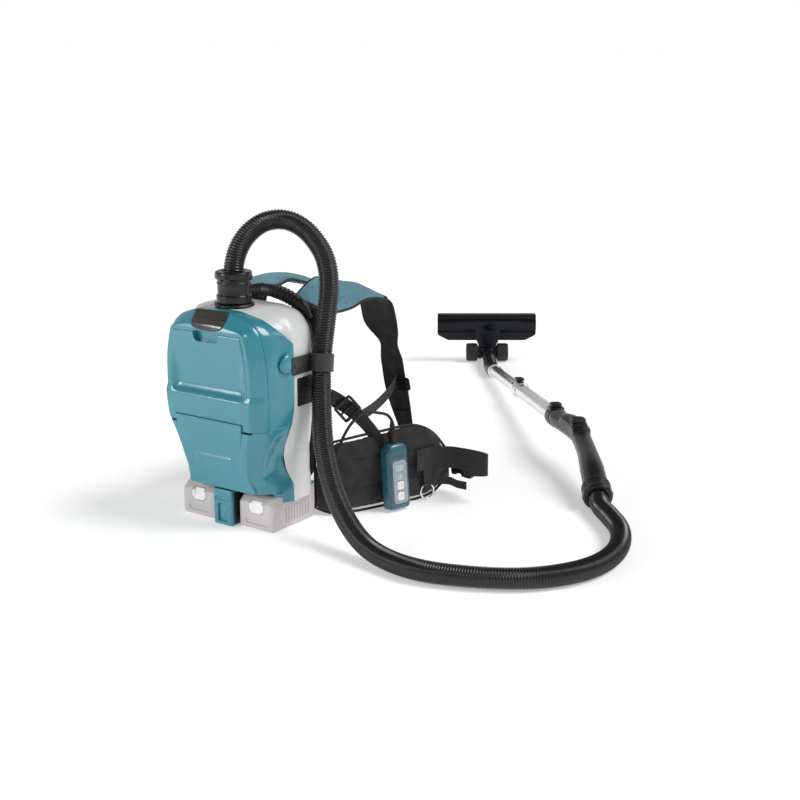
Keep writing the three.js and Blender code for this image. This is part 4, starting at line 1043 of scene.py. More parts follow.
def shoulder_strap(word, edge_pair, low, high, waist):
    """Padded strap in teal over the shoulder, folding into dark cloth that narrows towards its free end."""
    a, b, normal = edges(*edge_pair, STRAP_RINGS)
    t = np.linspace(0, 1, STRAP_RINGS)[:, None]
    keep = 1 - (1 - waist) * np.exp(-((t - WAIST_AT) / WAIST_SPREAD) ** 2)
    middle = (a + b) / 2
    a, b = middle + (a - middle) * keep, middle + (b - middle) * keep
    middle = (a + b) / 2
    root = int(np.argmax(middle[:, 1] > TEAL_FROM_Y))
    fold = int(np.argmax((middle[:, 1] > FOLD_Y) & (middle[:, 2] < FOLD_Z)))
    sign = -1 if abs(low) > abs(high) else 1
    outer, core = low if sign < 0 else high, (low + high) / 2

    def run(name, start, stop, shrink, puckers):
        sections = []
        for k in range(start, stop):
            pairs = padded(low + shrink(k), high - shrink(k), 17, 0.14, 1.6)
            across = pairs[:, 0]
            ripple = puckers * np.sin(across * math.pi) * (
                0.9 * math.sin(k * 0.33) * np.cos(across * 5) + 0.8 * np.sin(k * 0.15 + across * 6))
            pairs[:, 1] += ripple * np.sign(pairs[:, 1] - core)
            sections.append(pairs)
        return band(f"{name}_{word}", a[start:stop], b[start:stop], normal[start:stop], sections)

    def flattening(k):
        return float(3.2 * smoothstep(k, fold + 8, fold + 40)) + 0.3

    trims = [cord("edge_tape", a + share * (b - a) + core * normal, 5.4, 5.0) for share in (0, 1)]
    for share in (0.2, 0.8):
        line = (a + share * (b - a) + (outer - 0.1 * sign) * normal)[6:fold - 2]
        trims.append(cord("stitch_cord", line, 1.8, 1.5, 8))
    last = STRAP_RINGS - 1
    for k, wide, thick in ((fold + 1, 9, 12.6), (int(0.94 * last), 9, 7.5), (last, 5, 7.5)):
        line = np.linspace(a[k] + core * normal[k], b[k] + core * normal[k], 14)
        trims.append(cord("cross_tape", line, wide, thick, 14, a[k] - a[k - 2]))
    tapes = [strap_tape(a, b, normal, outer + sign * 0.5, 22, 0.04, 0.30),
             strap_tape(a, b, normal, low + high - outer + sign * 2.8, 24, fold / STRAP_RINGS + 0.05, 0.97)]
    dress(run("strap_pad", root, fold + 1, lambda k: 0.0, 0.35), "teal_cloth", "unit",
          f"shoulder_strap_{word[0]}", 60)
    dress(run("strap_lower", fold - 3, STRAP_RINGS, flattening, 1.0), "cloth", "unit", smooth=60)
    dress(run("strap_root", 0, root + 2, lambda k: 0.2, 0.35), "cloth", "unit", smooth=60)
    dress(join(f"strap_trim_{word}", *trims), "rubber", "unit", smooth=70)
    dress(join(f"strap_tapes_{word}", *tapes), "webbing", "unit", smooth=50)
    dress(strap_clip(word, a, b, normal, outer, sign), "satin_black", "unit")


shoulder_strap("right", STRAP_R, -11, 0, 0.72)
shoulder_strap("left", STRAP_L, 0, 11, 0.66)


VOXEL, CLOTH_FRAMES, CLOTH_ROOM = 5.0, 20, 4
CLOTH = {"quality": 6, "mass": 0.25, "tension_stiffness": 12, "compression_stiffness": 4,
         "shear_stiffness": 5, "bending_stiffness": 0.4, "use_pressure": True}


def cloth_moved(blank, puff, cap):
    """Vertices in metres once the blank is inflated as cloth, each moved by `cap` millimetres at most."""
    before = np.empty(len(blank.data.vertices) * 3)
    blank.data.vertices.foreach_get("co", before)
    cloth = blank.modifiers.new("cloth", "CLOTH")
    for key, value in CLOTH.items():
        setattr(cloth.settings, key, value)
    cloth.settings.uniform_pressure_force = puff
    cloth.settings.effector_weights.gravity = 0
    cloth.point_cache.frame_start = 1
    cloth.point_cache.frame_end = CLOTH_FRAMES
    for number in range(1, CLOTH_FRAMES + 1):
        bpy.context.scene.frame_set(number)
    settled = blank.evaluated_get(bpy.context.evaluated_depsgraph_get())
    after = np.empty_like(before)
    settled.to_mesh().vertices.foreach_get("co", after)
    settled.to_mesh_clear()
    blank.modifiers.clear()
    bpy.context.scene.frame_set(1)
    move = (after - before).reshape(-1, 3)
    size = np.linalg.norm(move, axis=1)[:, None]
    move *= np.minimum(1, cap * MM / np.maximum(size, 1e-9))
    return before.reshape(-1, 3) + move


def billow(name, blank, puff, cap):
    """Closed blank remeshed, inflated as cloth and smoothed once."""
    low, high = np.min(blank.bound_box, axis=0), np.max(blank.bound_box, axis=0)
    modify(blank, "REMESH", mode="VOXEL", voxel_size=VOXEL * MM)
    moved = np.clip(cloth_moved(blank, puff, cap), low - CLOTH_ROOM * MM, high + CLOTH_ROOM * MM)
    blank.data.vertices.foreach_set("co", moved.ravel())
    blank.name = name
    return modify(blank, "SUBSURF", levels=1, render_levels=1)


def groove(distance, width, depth):
    return depth * np.exp(-(distance / width) ** 2)


PAD_WIDE, PAD_TALL, PAD_Z, PAD_RADIUS = 148, 198, 222, 26


def back_pad():
    """Quilted pad: pillows between stitched channels on the wearer's side, with a grooved rim."""
    outline = rounded_rect(PAD_WIDE, PAD_TALL, PAD_RADIUS, 6)
    made = billow("back_pad", plate("pad_blank", outline, -96, -81, upright(0, PAD_Z)), 4.0, 6)

    def channels(p):
        seams = sum(groove(p[:, 2] - z, 2.4, 3.2) for z in (172, 206, 238, 272)) + groove(p[:, 0], 2.4, 3.4)
        rim = np.maximum(np.abs(p[:, 0]) / (PAD_WIDE / 2), np.abs(p[:, 2] - PAD_Z) / (PAD_TALL / 2))
        seams += groove((rim - 0.9) * 80, 2.2, 2.0)
        return p - (smoothstep(p[:, 1], 84, 92) * seams)[:, None] * (0, 1, 0)

    return press(made, channels)


def pad_piping():
    line = [(x, 88.5, z + PAD_Z) for x, z in rounded_rect(PAD_WIDE, PAD_TALL, PAD_RADIUS, 8)]
    return closed_cord("pad_piping", np.array(line), 4.4, 4.4)


def brace_plate():
    """Moulded plate behind the pad, with slots for the webbing."""
    made = plate("brace", rounded_rect(196, 286, 24, 6), -79.2, -76.4, upright(0, 207))
    for x in (-86, 86):
        for z in (96, 150, 264, 318):
            cut(made, rounded_rect(6, 30, 2.8), -90, -60, upright(x, z))
    return bevel(made, 0.8)


dress(back_pad(), "cloth", "unit", "back_pad", 70)
dress(pad_piping(), "binding", "unit", smooth=70)
dress(brace_plate(), "black", "unit", "back_plate")

WEB_UPPER = np.array([(100, 82, 230), (116, 112, 220), (141, 146, 188), (163, 172, 148), (168, 186, 126)])
WEB_LOWER = np.array([(100, 82, 200), (111, 112, 190), (126, 146, 164), (141, 166, 138), (150, 178, 114)])


def lower_webbing(word, flip):
    """Tape from the brace plate to the belt, with its ladder buckle and doubled end."""
    first, second = WEB_UPPER * flip, WEB_LOWER * flip
    inset = 0.08 * (second - first)
    lift = np.array([1.6, -2.6, 1.2]) * flip
    tapes = [tape_band("lower_tape", first, second, 60),
             tape_band("doubled_tape", (first + inset)[1:] + lift, (second - inset)[1:] + lift, 40)]
    dress(join(f"lower_webbing_{word}", *tapes), "webbing", "unit", f"lower_webbing_{word[0]}", 50)
    place = (placed(134 * flip[0], 128, 186) @ placed(0, 0, 0, turn_z=52 * flip[0])
             @ placed(0, 0, 0, turn_x=90, turn_y=-40 * flip[0]))
    ladder = put(slide_buckle(f"strap_adjuster_{word}", 38, 36, 4.6), place)
    dress(ladder, "satin_black", "unit", f"strap_adjuster_{word[0]}")


lower_webbing("right", (1, 1, 1))
lower_webbing("left", (-1, 1, 1))


# ---------------------------------------------------------------- waist belt

BELT_BOTTOM = [(92, 84, 8), (122, 92, 3), (149, 127, 1.5), (173, 183, 1.5), (201, 250, 1.5), (213, 286, 8),
               (221, 322, 30)]
BELT_TOP = [(92, 84, 118), (120, 94, 128), (144, 129, 134), (165, 186, 136), (194, 251, 137), (209, 287, 118),
            (219, 322, 78)]
BELT_THICK, BELT_LENGTH, BELT_HEIGHT, ROW_HEIGHTS = 14, 290, 120, (0.72, 0.34)
LOOP_PATH = [(204, 238, 76), (218, 272, 77), (240, 287, 78), (268, 292, 78), (298, 294, 77), (311, 299, 74),
             (306, 310, 68), (290, 315, 63), (268, 315, 60), (252, 314, 58)]
BRANCH_PATH = [(109, 316, 206), (113, 290, 186), (116, 255, 172), (121, 215, 164), (129, 170, 162)]
TAIL_PATH = [(212, 284, 30), (232, 300, 29), (246, 305, 24), (262, 312, 21)]


def belt_frame(count=201):
    return edges(BELT_BOTTOM, BELT_TOP, count)


def belt_wing():
    """Padded belt wing: billowed cloth with two stitched rows, a cross pinch and wrinkles."""
    section = padded(0.4, BELT_THICK - 0.4, 17, 0.1, 4.2)
    made = billow("belt_wing", band("belt_blank", *belt_frame(90), [section] * 90), 4.0, 5)

    def seams(p):
        a, b, normals = belt_frame(121)
        middle = (a + b) / 2
        nearest = np.argmin(np.linalg.norm(p[:, None, :2] - middle[None, :, :2], axis=2), axis=1)
        offset, up, normal = p - middle[nearest], (b - a)[nearest], normals[nearest]
        t = nearest / (len(a) - 1)
        rise = np.sum(offset * up, axis=1) / np.sum(up * up, axis=1) + 0.5
        depth = np.sum(offset * normal, axis=1)
        outside = smoothstep(-depth, -BELT_THICK / 2 - 1.5, -BELT_THICK / 2 + 3)
        upper, lower = ROW_HEIGHTS
        stitched = (groove((rise - upper) * BELT_HEIGHT, 2.0, 2.4)
                    + groove((rise - lower) * BELT_HEIGHT, 2.0, 2.2)
                    + groove((t - 0.42) * BELT_LENGTH, 2.2, 1.8))
        between = np.abs(np.sin((rise - lower) / (upper - lower) * math.pi)) ** 0.5
        wrinkle = 1.1 * np.sin(t * 58 + 2.5 * np.sin(rise * 9)) * between + 0.9 * np.sin(t * 23 + rise * 13)
        return p + normal * ((stitched + 0.75 * wrinkle) * outside - 0.7 * stitched * (1 - outside))[:, None]

    return press(made, seams)


def belt_trim():
    """Bound rim and the cords of the two stitched rows."""
    a, b, normal = belt_frame(121)
    around = np.concatenate([a[::3], b[::-3]]) + BELT_THICK / 2 * np.concatenate([normal[::3], normal[::-3]])
    trims = [closed_cord("belt_rim", around, 5.0, 5.0)]
    a, b, normal = belt_frame()
    for height in ROW_HEIGHTS:
        line = (a + height * (b - a) + 0.6 * normal)[6:195]
        trims.append(cord("row", curve(line[::8], count=80), 3.2, 2.0))
    return join("belt_trim", *trims)


def belt_pouch():
    """Flap and pouch front stitched on the outside of the wing."""
    a, b, normal = belt_frame()
    made = []
    for i, j, h0, h1, lift in ((100, 172, 0.30, 0.94, 3.4), (98, 174, 0.66, 0.985, 5.6)):
        across = np.linspace(h0, h1, 13)
        inward = np.clip(np.minimum(across - h0, h1 - across) / 0.05, 0, 1)
        sections = []
        for k in range(i, j + 1, 2):
            along = min(1, (k - i) / 5, (j - k) / 5)
            rise = lift * np.sqrt(1 - (1 - inward) ** 2) * math.sqrt(max(0.0, 1 - (1 - along) ** 2))
            rise = rise + 0.6 * np.sin(k * 0.16 + across * 9)
            sections.append(np.concatenate([np.column_stack([across, 0.2 - rise]),
                                            np.column_stack([across[::-1], np.full(13, 3.5)])]))
        kept = slice(i, j + 1, 2)
        made.append(band("pouch", a[kept], b[kept], normal[kept], sections))
    return join("belt_pouch", *made)


def upright_tape(name, centres, width, count):
    """Tape on edge along a path, its width upright, from its upper to its lower edge."""
    return tape_band(name, *(np.array(centres) + (0, 0, lift) for lift in (width / 2, -width / 2)), count)


def belt_tapes():
    """Webbing loop that ends in the buckle, branch to the strap and the tape's free tail."""
    paths = (LOOP_PATH, -40, 110), (BRANCH_PATH, 20, 60), (TAIL_PATH, 15, 24)
    return join("belt_tape", *(upright_tape("tape", *path) for path in paths))


RING_XY, RING_Z, RING_RADIUS, RING_TURN = (211.5, 259.5), 16.5, 13.5, math.radians(66)
RING_ACROSS = np.array([math.cos(RING_TURN), math.sin(RING_TURN), 0])


def ring_tab():
    """Folded tab that holds the belt's ring."""
    out = np.array([math.sin(RING_TURN), -math.cos(RING_TURN), 0])
    fall = [(0.2, 62), (1.4, 48), (2.8, 38), (3.2, 31.5), (1.4, 27.6), (-1.6, 30.5), (-2.4, 44)]
    spine = np.array([(*RING_XY, z) + out * o for o, z in fall])
    return tape_band("ring_tab", spine - 9 * RING_ACROSS, spine + 9 * RING_ACROSS, 40)


def belt_ring():
    angle = round_angles(48)[:, None]
    line = (*RING_XY, RING_Z) + RING_RADIUS * (np.cos(angle) * RING_ACROSS + np.sin(angle) * UP)
    return closed_cord("ring", line, 3.1, 3.1)


dress(ring_tab(), "webbing", "unit", smooth=60)
dress(belt_ring(), "chrome", "ring", "belt_ring", 80)
for piece, look, nodes in ((belt_wing(), "cloth", "waist_belt"), (belt_trim(), "binding", None),
                           (belt_pouch(), "cloth", None), (belt_tapes(), "webbing", "belt_webbing")):
    dress(mirror(piece, f"{piece.name}_left"), look, "unit", nodes and f"{nodes}_l", 65)
    piece.name = f"{piece.name}_right"
    dress(piece, look, "unit", nodes and f"{nodes}_r", 65)


# ---------------------------------------------------------------- buckles

BUCKLE = placed(243, 328, 56, turn_z=178)


def buckle_half(name, low_x, high_x, thick):
    """Body of one buckle half, with the slot that its tape runs through."""
    outline = rounded_loop([(low_x, -25), (high_x, -22), (high_x, 22), (low_x, 25)], 5)
    made = plate(name, outline, -thick / 2, thick / 2, upright(0, 0))
    return bevel(cut(made, rounded_rect(4.4, 42, 1.8), -20, 20, upright(low_x + 6.5, 0)), 1.6, 3)


def buckle_socket():
    """Half with the mouth, two side windows and a raised rib on both faces."""
    made = buckle_half("socket", -22, 22, 11)
    cut(made, [(-3, -20), (30, -20), (30, 20), (-3, 20)], -3.4, 3.4, upright(0, 0))
    for z in (-22.23, 22.23):
        cut(made, rounded_rect(15, 8, 3.5), -20, 20, upright(6, z))
    ribs = [plate("rib", rounded_rect(26, 16, 5), low, low + 1.4, upright(4, 0)) for low in (5, -6.4)]
    return put(join("buckle_socket", made, *ribs), BUCKLE)


def buckle_plug():
    """Half with the three prongs, at the other end of the belt."""
    parts = [buckle_half("plug", -22, -4, 8)]
    for z, bulge in ((-17, -1.75), (0, 0), (17, 1.75)):
        outline = rounded_loop([(-6, z - 2.2), (10, z - 2.2 + bulge), (20, z - 1.6), (20, z + 1.6),
                                (10, z + 2.2 + bulge), (-6, z + 2.2)], 1.4)
        parts.append(plate("prong", outline, -2.6, 2.6, upright(0, 0), 0.6))
    made = put(join("plug", *parts), BUCKLE)
    flipped = mirror(made, "buckle_plug")
    bpy.data.objects.remove(made)
    return flipped


dress(buckle_socket(), "satin_black", "unit", "buckle_socket")
dress(buckle_plug(), "satin_black", "unit", "buckle_plug")


# ---------------------------------------------------------------- remote control

REMOTE = placed(197, 186, 3.5) @ placed(0, 0, 0, turn_z=75.35) @ placed(0, 0, 0, turn_x=-5)
KEY_Z, WINDOW_Z, DIAL_Z, KEYPAD_Z = (22.5, 41.5), 73, 57.5, 48
CABLE_PATH = [(184.6, 189.2, 153), (182.6, 189.6, 160), (176, 187, 168), (168, 174, 173.5), (158, 151, 177.5),
              (149, 127, 168), (142, 106, 144), (139, 93, 118), (139, 84, 97), (133, 76, 83), (117, 62, 78)]


def remote_housing():
    """Slightly waisted case with soft shoulders and seats for the keypad and the keys."""
    rings = []
    for z, half, deep, radius in ((0, 20.5, 10.5, 7), (1.2, 22.2, 12, 7.5), (4, 23.3, 12.9, 7.5),
                                  (60, 23.5, 13, 7.5), (98, 23.5, 13, 7.5), (108, 22, 12.4, 8),
                                  (113.5, 17.5, 10.8, 8), (116, 11, 8, 7)):
        outline = rounded_rect(2 * half, 2 * deep, radius, 6)
        rings.append(np.column_stack([outline, np.full(len(outline), z)]))
    made = cut(loft("remote", rings), rounded_rect(32, 78, 7), 11, 30, upright(0, KEYPAD_Z))
    for z in KEY_Z:
        cut(made, rounded_rect(16.4, 16.4, 3.5), 6.5, 30, upright(0, z))
    return put(bevel(made, 0.7, 2, 35), REMOTE)


def remote_keypad():
    """Pale plate with holes for the keys and seats for the window and the dial."""
    made = plate("keypad", rounded_rect(31.2, 77.2, 6.6, 6), 11.3, 13.7, upright(0, KEYPAD_Z))
    for z in KEY_Z:
        cut(made, rounded_rect(16.4, 16.4, 3.5), 8, 30, upright(0, z))
    cut(made, rounded_rect(21, 13, 2.5), 12.9, 30, upright(0, WINDOW_Z))
    cut(made, rounded_rect(13.6, 13.6, 6.7), 12.9, 30, upright(0, DIAL_Z))
    return put(bevel(made, 0.4), REMOTE)


def remote_details():
    """Lamp window and round symbol cap on the keypad."""
    window = plate("lamp_window", rounded_rect(20, 12, 2.2), 12.4, 13.6, upright(0, WINDOW_Z), 0.4)
    dial = plate("dial", rounded_rect(12.6, 12.6, 6.2, 8), 12.4, 13.9, upright(0, DIAL_Z), 0.5)
    return put(join("remote_window", window, dial), REMOTE)


def remote_button(name, z):
    """Key cap with a round dimple and a raised ring in it."""
    made = plate(name, rounded_rect(15, 15, 3.2, 6), 9, 14.5, upright(0, z), 1.0, 3)
    dimple = [(0, -0.5), (4.6, -0.5), (4.6, 3), (0, 3)]
    boolean(made, lathe("dimple", dimple, (0, -14.5, z), TO_FRONT, 32, loop=False))
    profile = rounded_profile([(2.6, 0), (2.6, 0.9), (3.6, 0.9), (3.6, 0)], 0.2, 2)
    return put(join(name, made, lathe("symbol", profile, (0, -13.9, z), TO_FRONT, 32)), REMOTE)


def cable_boot():
    """Tapered strain relief of five collars."""
    profile = [(0, 0.3), (7.4, 0.3), (7.6, 2), (6.9, 8)]
    for k in range(5):
        radius, z = 6.4 - 0.45 * k, 10 + 5 * k
        profile += [(radius, z), (radius + 0.1, z + 0.8), (radius + 0.1, z + 2.8), (radius - 0.9, z + 3.4),
                    (radius - 0.9, z + 4.6)]
    profile = rounded_profile(profile + [(3.8, 38), (0, 38)], 0.3, 2)
    return put(lathe("boot", profile, (0, 0, 116), UP, 40, loop=False), REMOTE)


dress(remote_housing(), "deep_teal", "unit", "remote_housing")
dress(remote_keypad(), "keypad", "unit", "remote_keypad")
dress(remote_details(), "window", "unit")
dress(remote_button("power_key_cap", KEY_Z[0]), "button", "power_key", "power_button")
dress(remote_button("mode_key_cap", KEY_Z[1]), "button", "mode_key", "mode_button")
dress(cable_boot(), "rubber", "unit", "cable_boot")
dress(tube("control_cable", curve(CABLE_PATH, 2), 2.6, sides=16), "rubber", "unit", "remote_cable", 80)


# ---------------------------------------------------------------- wand

PIPE_JOINT = np.array([241, 674, 69.6])
PIPE_STEP = np.array([13, 925.8, 40.6])
PIPE_END = np.array([-180, 1139, 16])
PIPE_AXIS = unit(PIPE_END - PIPE_JOINT)
SLIDER_AT = np.array([344, 579, 71])
OUTER_RADIUS, INNER_RADIUS = 16, 14.3


def on_pipe(start, distance):
    return start + distance * PIPE_AXIS


def wand_frame(at, lift):
    """Matrix over the wand: x runs along it, y across, z up."""
    across = unit(np.cross(UP, PIPE_AXIS))
    top = np.cross(PIPE_AXIS, across)
    return from_axes(PIPE_AXIS, across, top, at + lift * top)


def turned(name, profile, at, axis=PIPE_AXIS, rounding=0.6, steps=2, segments=64):
    """Ring with softened edges turned about a pipe's axis."""
    return lathe(name, rounded_profile(profile, rounding, steps), at, axis, segments)


def wand_saddles():
    """Raised seats under the two thumb pieces, moulded into the handle."""
    seats = []
    for at, length, width, height in ((SLIDER_AT, 46, 31, 9.4), (on_pipe(PIPE_JOINT, -16), 34, 30, 7.3)):
        seat = plate("seat", rounded_rect(length, width, 8, 6), 0, height, soft=2.4, segments=4)
        seats.append(put(seat, wand_frame(at, 13)))
    return join("wand_saddles", *seats)


def end_cuff():
    """Swivel cuff with two grooves and a rim of grip lugs."""
    profile = [(18.7, -22), (23, -22), (26, -19.5), (26.6, -17), (26.6, -8.6), (25.1, -7.8), (25.1, -5.4),
               (26.6, -4.6), (26.6, -0.4), (25.3, 0.4), (25.3, 2.6), (26.6, 3.4), (26.6, 10.6), (25.6, 11.9),
               (22.8, 11.9), (22.8, 0.6), (18.7, 0.6)]
    first, second = basis(HOSE_END_AXIS)
    parts = [turned("end_cuff", profile, HOSE_END, HOSE_END_AXIS, segments=80)]
    for angle in round_angles(10):
        out = math.cos(angle) * first + math.sin(angle) * second
        place = from_axes(np.cross(HOSE_END_AXIS, out), HOSE_END_AXIS, out,
                          HOSE_END + out * 25.6 - HOSE_END_AXIS * 13)
        parts.append(put(plate("lug", rounded_rect(5, 7, 1.6), 0, 1.7, soft=0.5), place))
    return join("hose_end", *parts)


def wand_handle():
    """Bent grip: round at the ends, square on top under the slider, with finger waves and a collar."""
    path = curve([HOSE_END + 2 * HOSE_END_AXIS, (443, 450, 47), (387, 528, 63), SLIDER_AT,
                  on_pipe(PIPE_JOINT, -45), on_pipe(PIPE_JOINT, -28)], 1.5)
    t = np.linspace(0, 1, len(path))
    radius = np.interp(t, np.linspace(0, 1, 6), [22.4, 22, 18.6, 18, 19, 19])
    radius = np.convolve(np.pad(radius, 8, mode="edge"), np.ones(17) / 17, mode="valid")
    grips = smoothstep(t, 0.2, 0.26) * smoothstep(-t, -0.55, -0.5)
    waves = 1.6 * grips * (0.5 + 0.5 * np.cos(FULL_TURN * np.arange(len(path)) / 6))
    hump = 4.4 * smoothstep(t, 0.5, 0.62) * smoothstep(-t, -0.9, -0.8)
    block = smoothstep(t, 0.56, 0.6) * smoothstep(-t, -0.84, -0.8)
    right, top = frames_along(path, (0.7, 0.7, 0))
    if top[len(top) // 2][2] < 0:
        right, top = -right, -top
    cosine, sine = np.cos(round_angles(48)), np.sin(round_angles(48))
    square = (1 / np.maximum(np.abs(cosine), np.abs(sine)) ** 0.55 - 1) * (sine > -0.3)
    rings = []
    for i in range(len(path)):
        r = radius[i] + hump[i] * np.clip(sine, 0, 1) ** 2 - waves[i] * np.clip(-sine, 0, 1)
        r = r * (1 + block[i] * square)
        rings.append(path[i] + (r * cosine)[:, None] * right[i] + (r * sine)[:, None] * top[i])
    profile = [(16.7, 0), (16.7, -34), (19, -34), (20.4, -32), (20.4, -26), (19.4, -25.2), (19.4, -22.8),
               (20.4, -22), (20.4, -3), (19.6, -0.6), (18.4, 0)]
    return join("wand_grip", loft("grip", rings), turned("collar", profile, PIPE_JOINT))


def thumb_block(name, at, lift, size, ridges):
    """Rounded thumb piece with cross ridges."""
    length, width, height = size
    parts = [plate(name, rounded_rect(length, width, width * 0.3, 6), 0, height, soft=1.5, segments=4)]
    for x in np.linspace(-length * 0.28, length * 0.28, ridges):
        ridge = rounded_rect(1.5, width * 0.72, 0.7)
        parts.append(plate("ridge", ridge, height - 0.4, height + 0.8, placed(x, 0, 0), 0.35))
    return put(join(name, *parts), wand_frame(at, lift))


def metal_pipe(name, start, radius, end, bead):
    """Thin drawn pipe with a rolled bead at its mouth."""
    length = float(np.linalg.norm(end - start))
    profile = [(radius - 1.2, 0), (radius, 0)] + [(radius, s) for s in np.linspace(6, length - 8, 24)]
    profile += [(radius, length - 6), (radius + bead, length - 5), (radius + bead, length - 1.4),
                (radius, length - 0.4), (radius - 0.4, length), (radius - 1.2, length)]
    return lathe(name, profile, start, PIPE_AXIS, 56)


def pipe_collar():
    """Collar at the end of the outer pipe, under the telescope's catch."""
    return turned("pipe_collar", [(16.2, -40), (17.6, -40), (18.4, -38), (18.4, -30), (19.6, -28), (19.6, -3),
                                  (18.8, -0.8), (17, 0), (16.2, 0)], PIPE_STEP, rounding=0.7)


def pipe_ring():
    """Bright stop ring on the inner pipe, just above the nozzle's socket."""
    return turned("pipe_ring", [(14.4, -26), (17, -26), (17.6, -24.6), (17.6, -18.6), (17, -17.2),
                                (14.4, -17.2)], PIPE_END)


dress(end_cuff(), "satin_black", "hose_end", "hose_end_cuff")
dress(wand_handle(), "satin_black", "unit", "wand_handle", 50)
dress(wand_saddles(), "satin_black", "unit")
for name, at, lift, size, ridges, body, node in (
        ("suction_thumb", SLIDER_AT, 22.4, (36, 28, 7.4), 4, "slider", "suction_slider"),
        ("handle_catch", on_pipe(PIPE_JOINT, -14), 20.3, (27, 22, 7.4), 3, "handle_lock",
         "handle_lock_button"),
        ("pipe_catch", on_pipe(PIPE_STEP, -14), 20, (30, 18, 6), 3, "pipe_lock", "pipe_lock_button")):
    dress(thumb_block(name, at, lift, size, ridges), "black", body, node)
dress(metal_pipe("outer_tube", on_pipe(PIPE_JOINT, -24), OUTER_RADIUS, PIPE_STEP, 0.3), "pipe", "unit",
      "outer_pipe")
dress(metal_pipe("inner_tube", on_pipe(PIPE_STEP, -60), INNER_RADIUS, PIPE_END, 0.0), "pipe", "lower_pipe",
      "inner_pipe")
dress(pipe_collar(), "chrome", "unit")
dress(pipe_ring(), "chrome", "lower_pipe")


# ---------------------------------------------------------------- floor nozzle

# The head's own frame, folded up as in the photo: x along its axle, its sole towards +y, and z up.
HEAD = placed(-280, 1274, 23, turn_z=34.75)
MOUTH_Z, BRUSH_Z = 61, 41


def in_head(point):
    return np.array(HEAD.inverted() @ Vector(point))


def on_axle(name, profile, rounding=0.8, steps=3, segments=48):
    return lathe(name, rounded_profile(profile, rounding, steps), axis=ALONG_X, segments=segments)


def nozzle_elbow():
    """Ribbed neck from the pipe's end down to the knuckle on the axle."""
    end = in_head(PIPE_END)
    direction = unit(in_head(PIPE_END + PIPE_AXIS) - end)
    path = curve([end + 2 * direction, end + 20 * direction, (1, -70, -1), (0, -26, 0), (0, -10, 0)], 1.0)
    t = np.linspace(0, 1, len(path))
    ribs = smoothstep(t, 0.12, 0.2) * smoothstep(-t, -0.72, -0.64)
    radius = (np.interp(t, [0, 0.25, 0.5, 0.75, 1], [16.5, 16, 15.5, 14, 12.5])
              + ribs * 0.9 * np.cos(FULL_TURN * np.arange(len(path)) / 6.5))
    socket = [(14.7, -16), (16.9, -16), (17.8, -14.5), (17.8, -9), (17.1, -8), (17.1, -6), (17.8, -5),
              (17.8, 5), (16.9, 6.4), (14.7, 6.4)]
    knuckle = [(4.5, -13.6), (15.6, -13.6), (16.9, -12.2), (16.9, 12.2), (15.6, 13.6), (4.5, 13.6)]
    return put(join("elbow", tube("neck", path, radius, sides=40),
                    turned("socket", socket, end, direction, segments=56),
                    on_axle("knuckle", knuckle, 0.9, segments=56)), HEAD)


def nozzle_body():
    """Suction head: stepped section swept across and trimmed, with arm, lugs and openings in its sole."""
    section = rounded_loop([(-2, 31), (-5, 52), (-2.5, 55), (-8, 59), (-8, 80), (-2, 86), (-2, 98), (20, 98),
                            (23, 95), (23, 34), (20, 31)], 2.2)
    spans = np.linspace(-128, 124, 43)
    body = loft("body", [np.column_stack([np.full(len(section), x), section]) for x in spans])
    outline = rounded_loop([(-127, 99), (123, 99), (123, 46), (94, 30.5), (-98, 30.5), (-127, 46)], 4)
    boolean(body, plate("trim", outline, -40, 40, upright(0, 0)), "INTERSECT")
    half = [(22.4, 12), (22.4, 23), (27, 28), (27, 46), (31, 58), (46, 68), (84, 73), (84, 84)]
    arm = rounded_loop([(-22.4, 12)] + half + [(-x, z) for x, z in half[:0:-1]], 4)
    boolean(body, plate("arm", arm, -8, 11, upright(0, 0)), "UNION")
    for z in np.arange(26, 50, 4.0):
        boolean(body, plate("rib", rounded_rect(34, 1.8, 0.8), 10, 11.7, upright(0, z)), "UNION")
    for x in (14.2, -22.6):
        lug = [(4.5, x), (16.4, x), (17.4, x + 1.2), (17.4, x + 7.2), (16.4, x + 8.4), (4.5, x + 8.4)]
        boolean(body, on_axle("lug", lug), "UNION")
    gap = [(0, -13.9), (17.6, -13.9), (17.6, 13.9), (0, 13.9)]
    boolean(body, lathe("gap", gap, axis=ALONG_X, segments=48, loop=False))
    cut(body, rounded_rect(212, 18, 4), -40, -12, upright(0, MOUTH_Z))
    cut(body, rounded_rect(224, 8, 1), -40, -18, upright(0, BRUSH_Z))
    return put(bevel(body, 0.8), HEAD)


def nozzle_trim():
    """Raised frame round the mouth in the sole."""
    lip = plate("lip", rounded_rect(218, 24, 6), -24.2, -22.6, upright(0, MOUTH_Z))
    return put(bevel(cut(lip, rounded_rect(208, 14, 3), -40, -10, upright(0, MOUTH_Z)), 0.5), HEAD)


def nozzle_brush():
    """Brush strip: a holder with two rows of stiff tufts."""
    rng = np.random.default_rng(5)
    parts = [plate("holder", rounded_rect(222, 6.8, 1), -22, -18.6, upright(0, BRUSH_Z))]
    for x in np.arange(-108, 108.1, 3.0):
        for z in (39.2, 42.6):
            lean = rng.normal(0, 0.5, 2)
            path = [(x + lean[0] * share, y, z + lean[1] * share)
                    for share, y in ((0, 21), (0.5, 24.5), (1, 27))]
            parts.append(tube("tuft", path, [1.0, 1.15, 1.3], sides=7))
    return put(join("brush", *parts), HEAD)


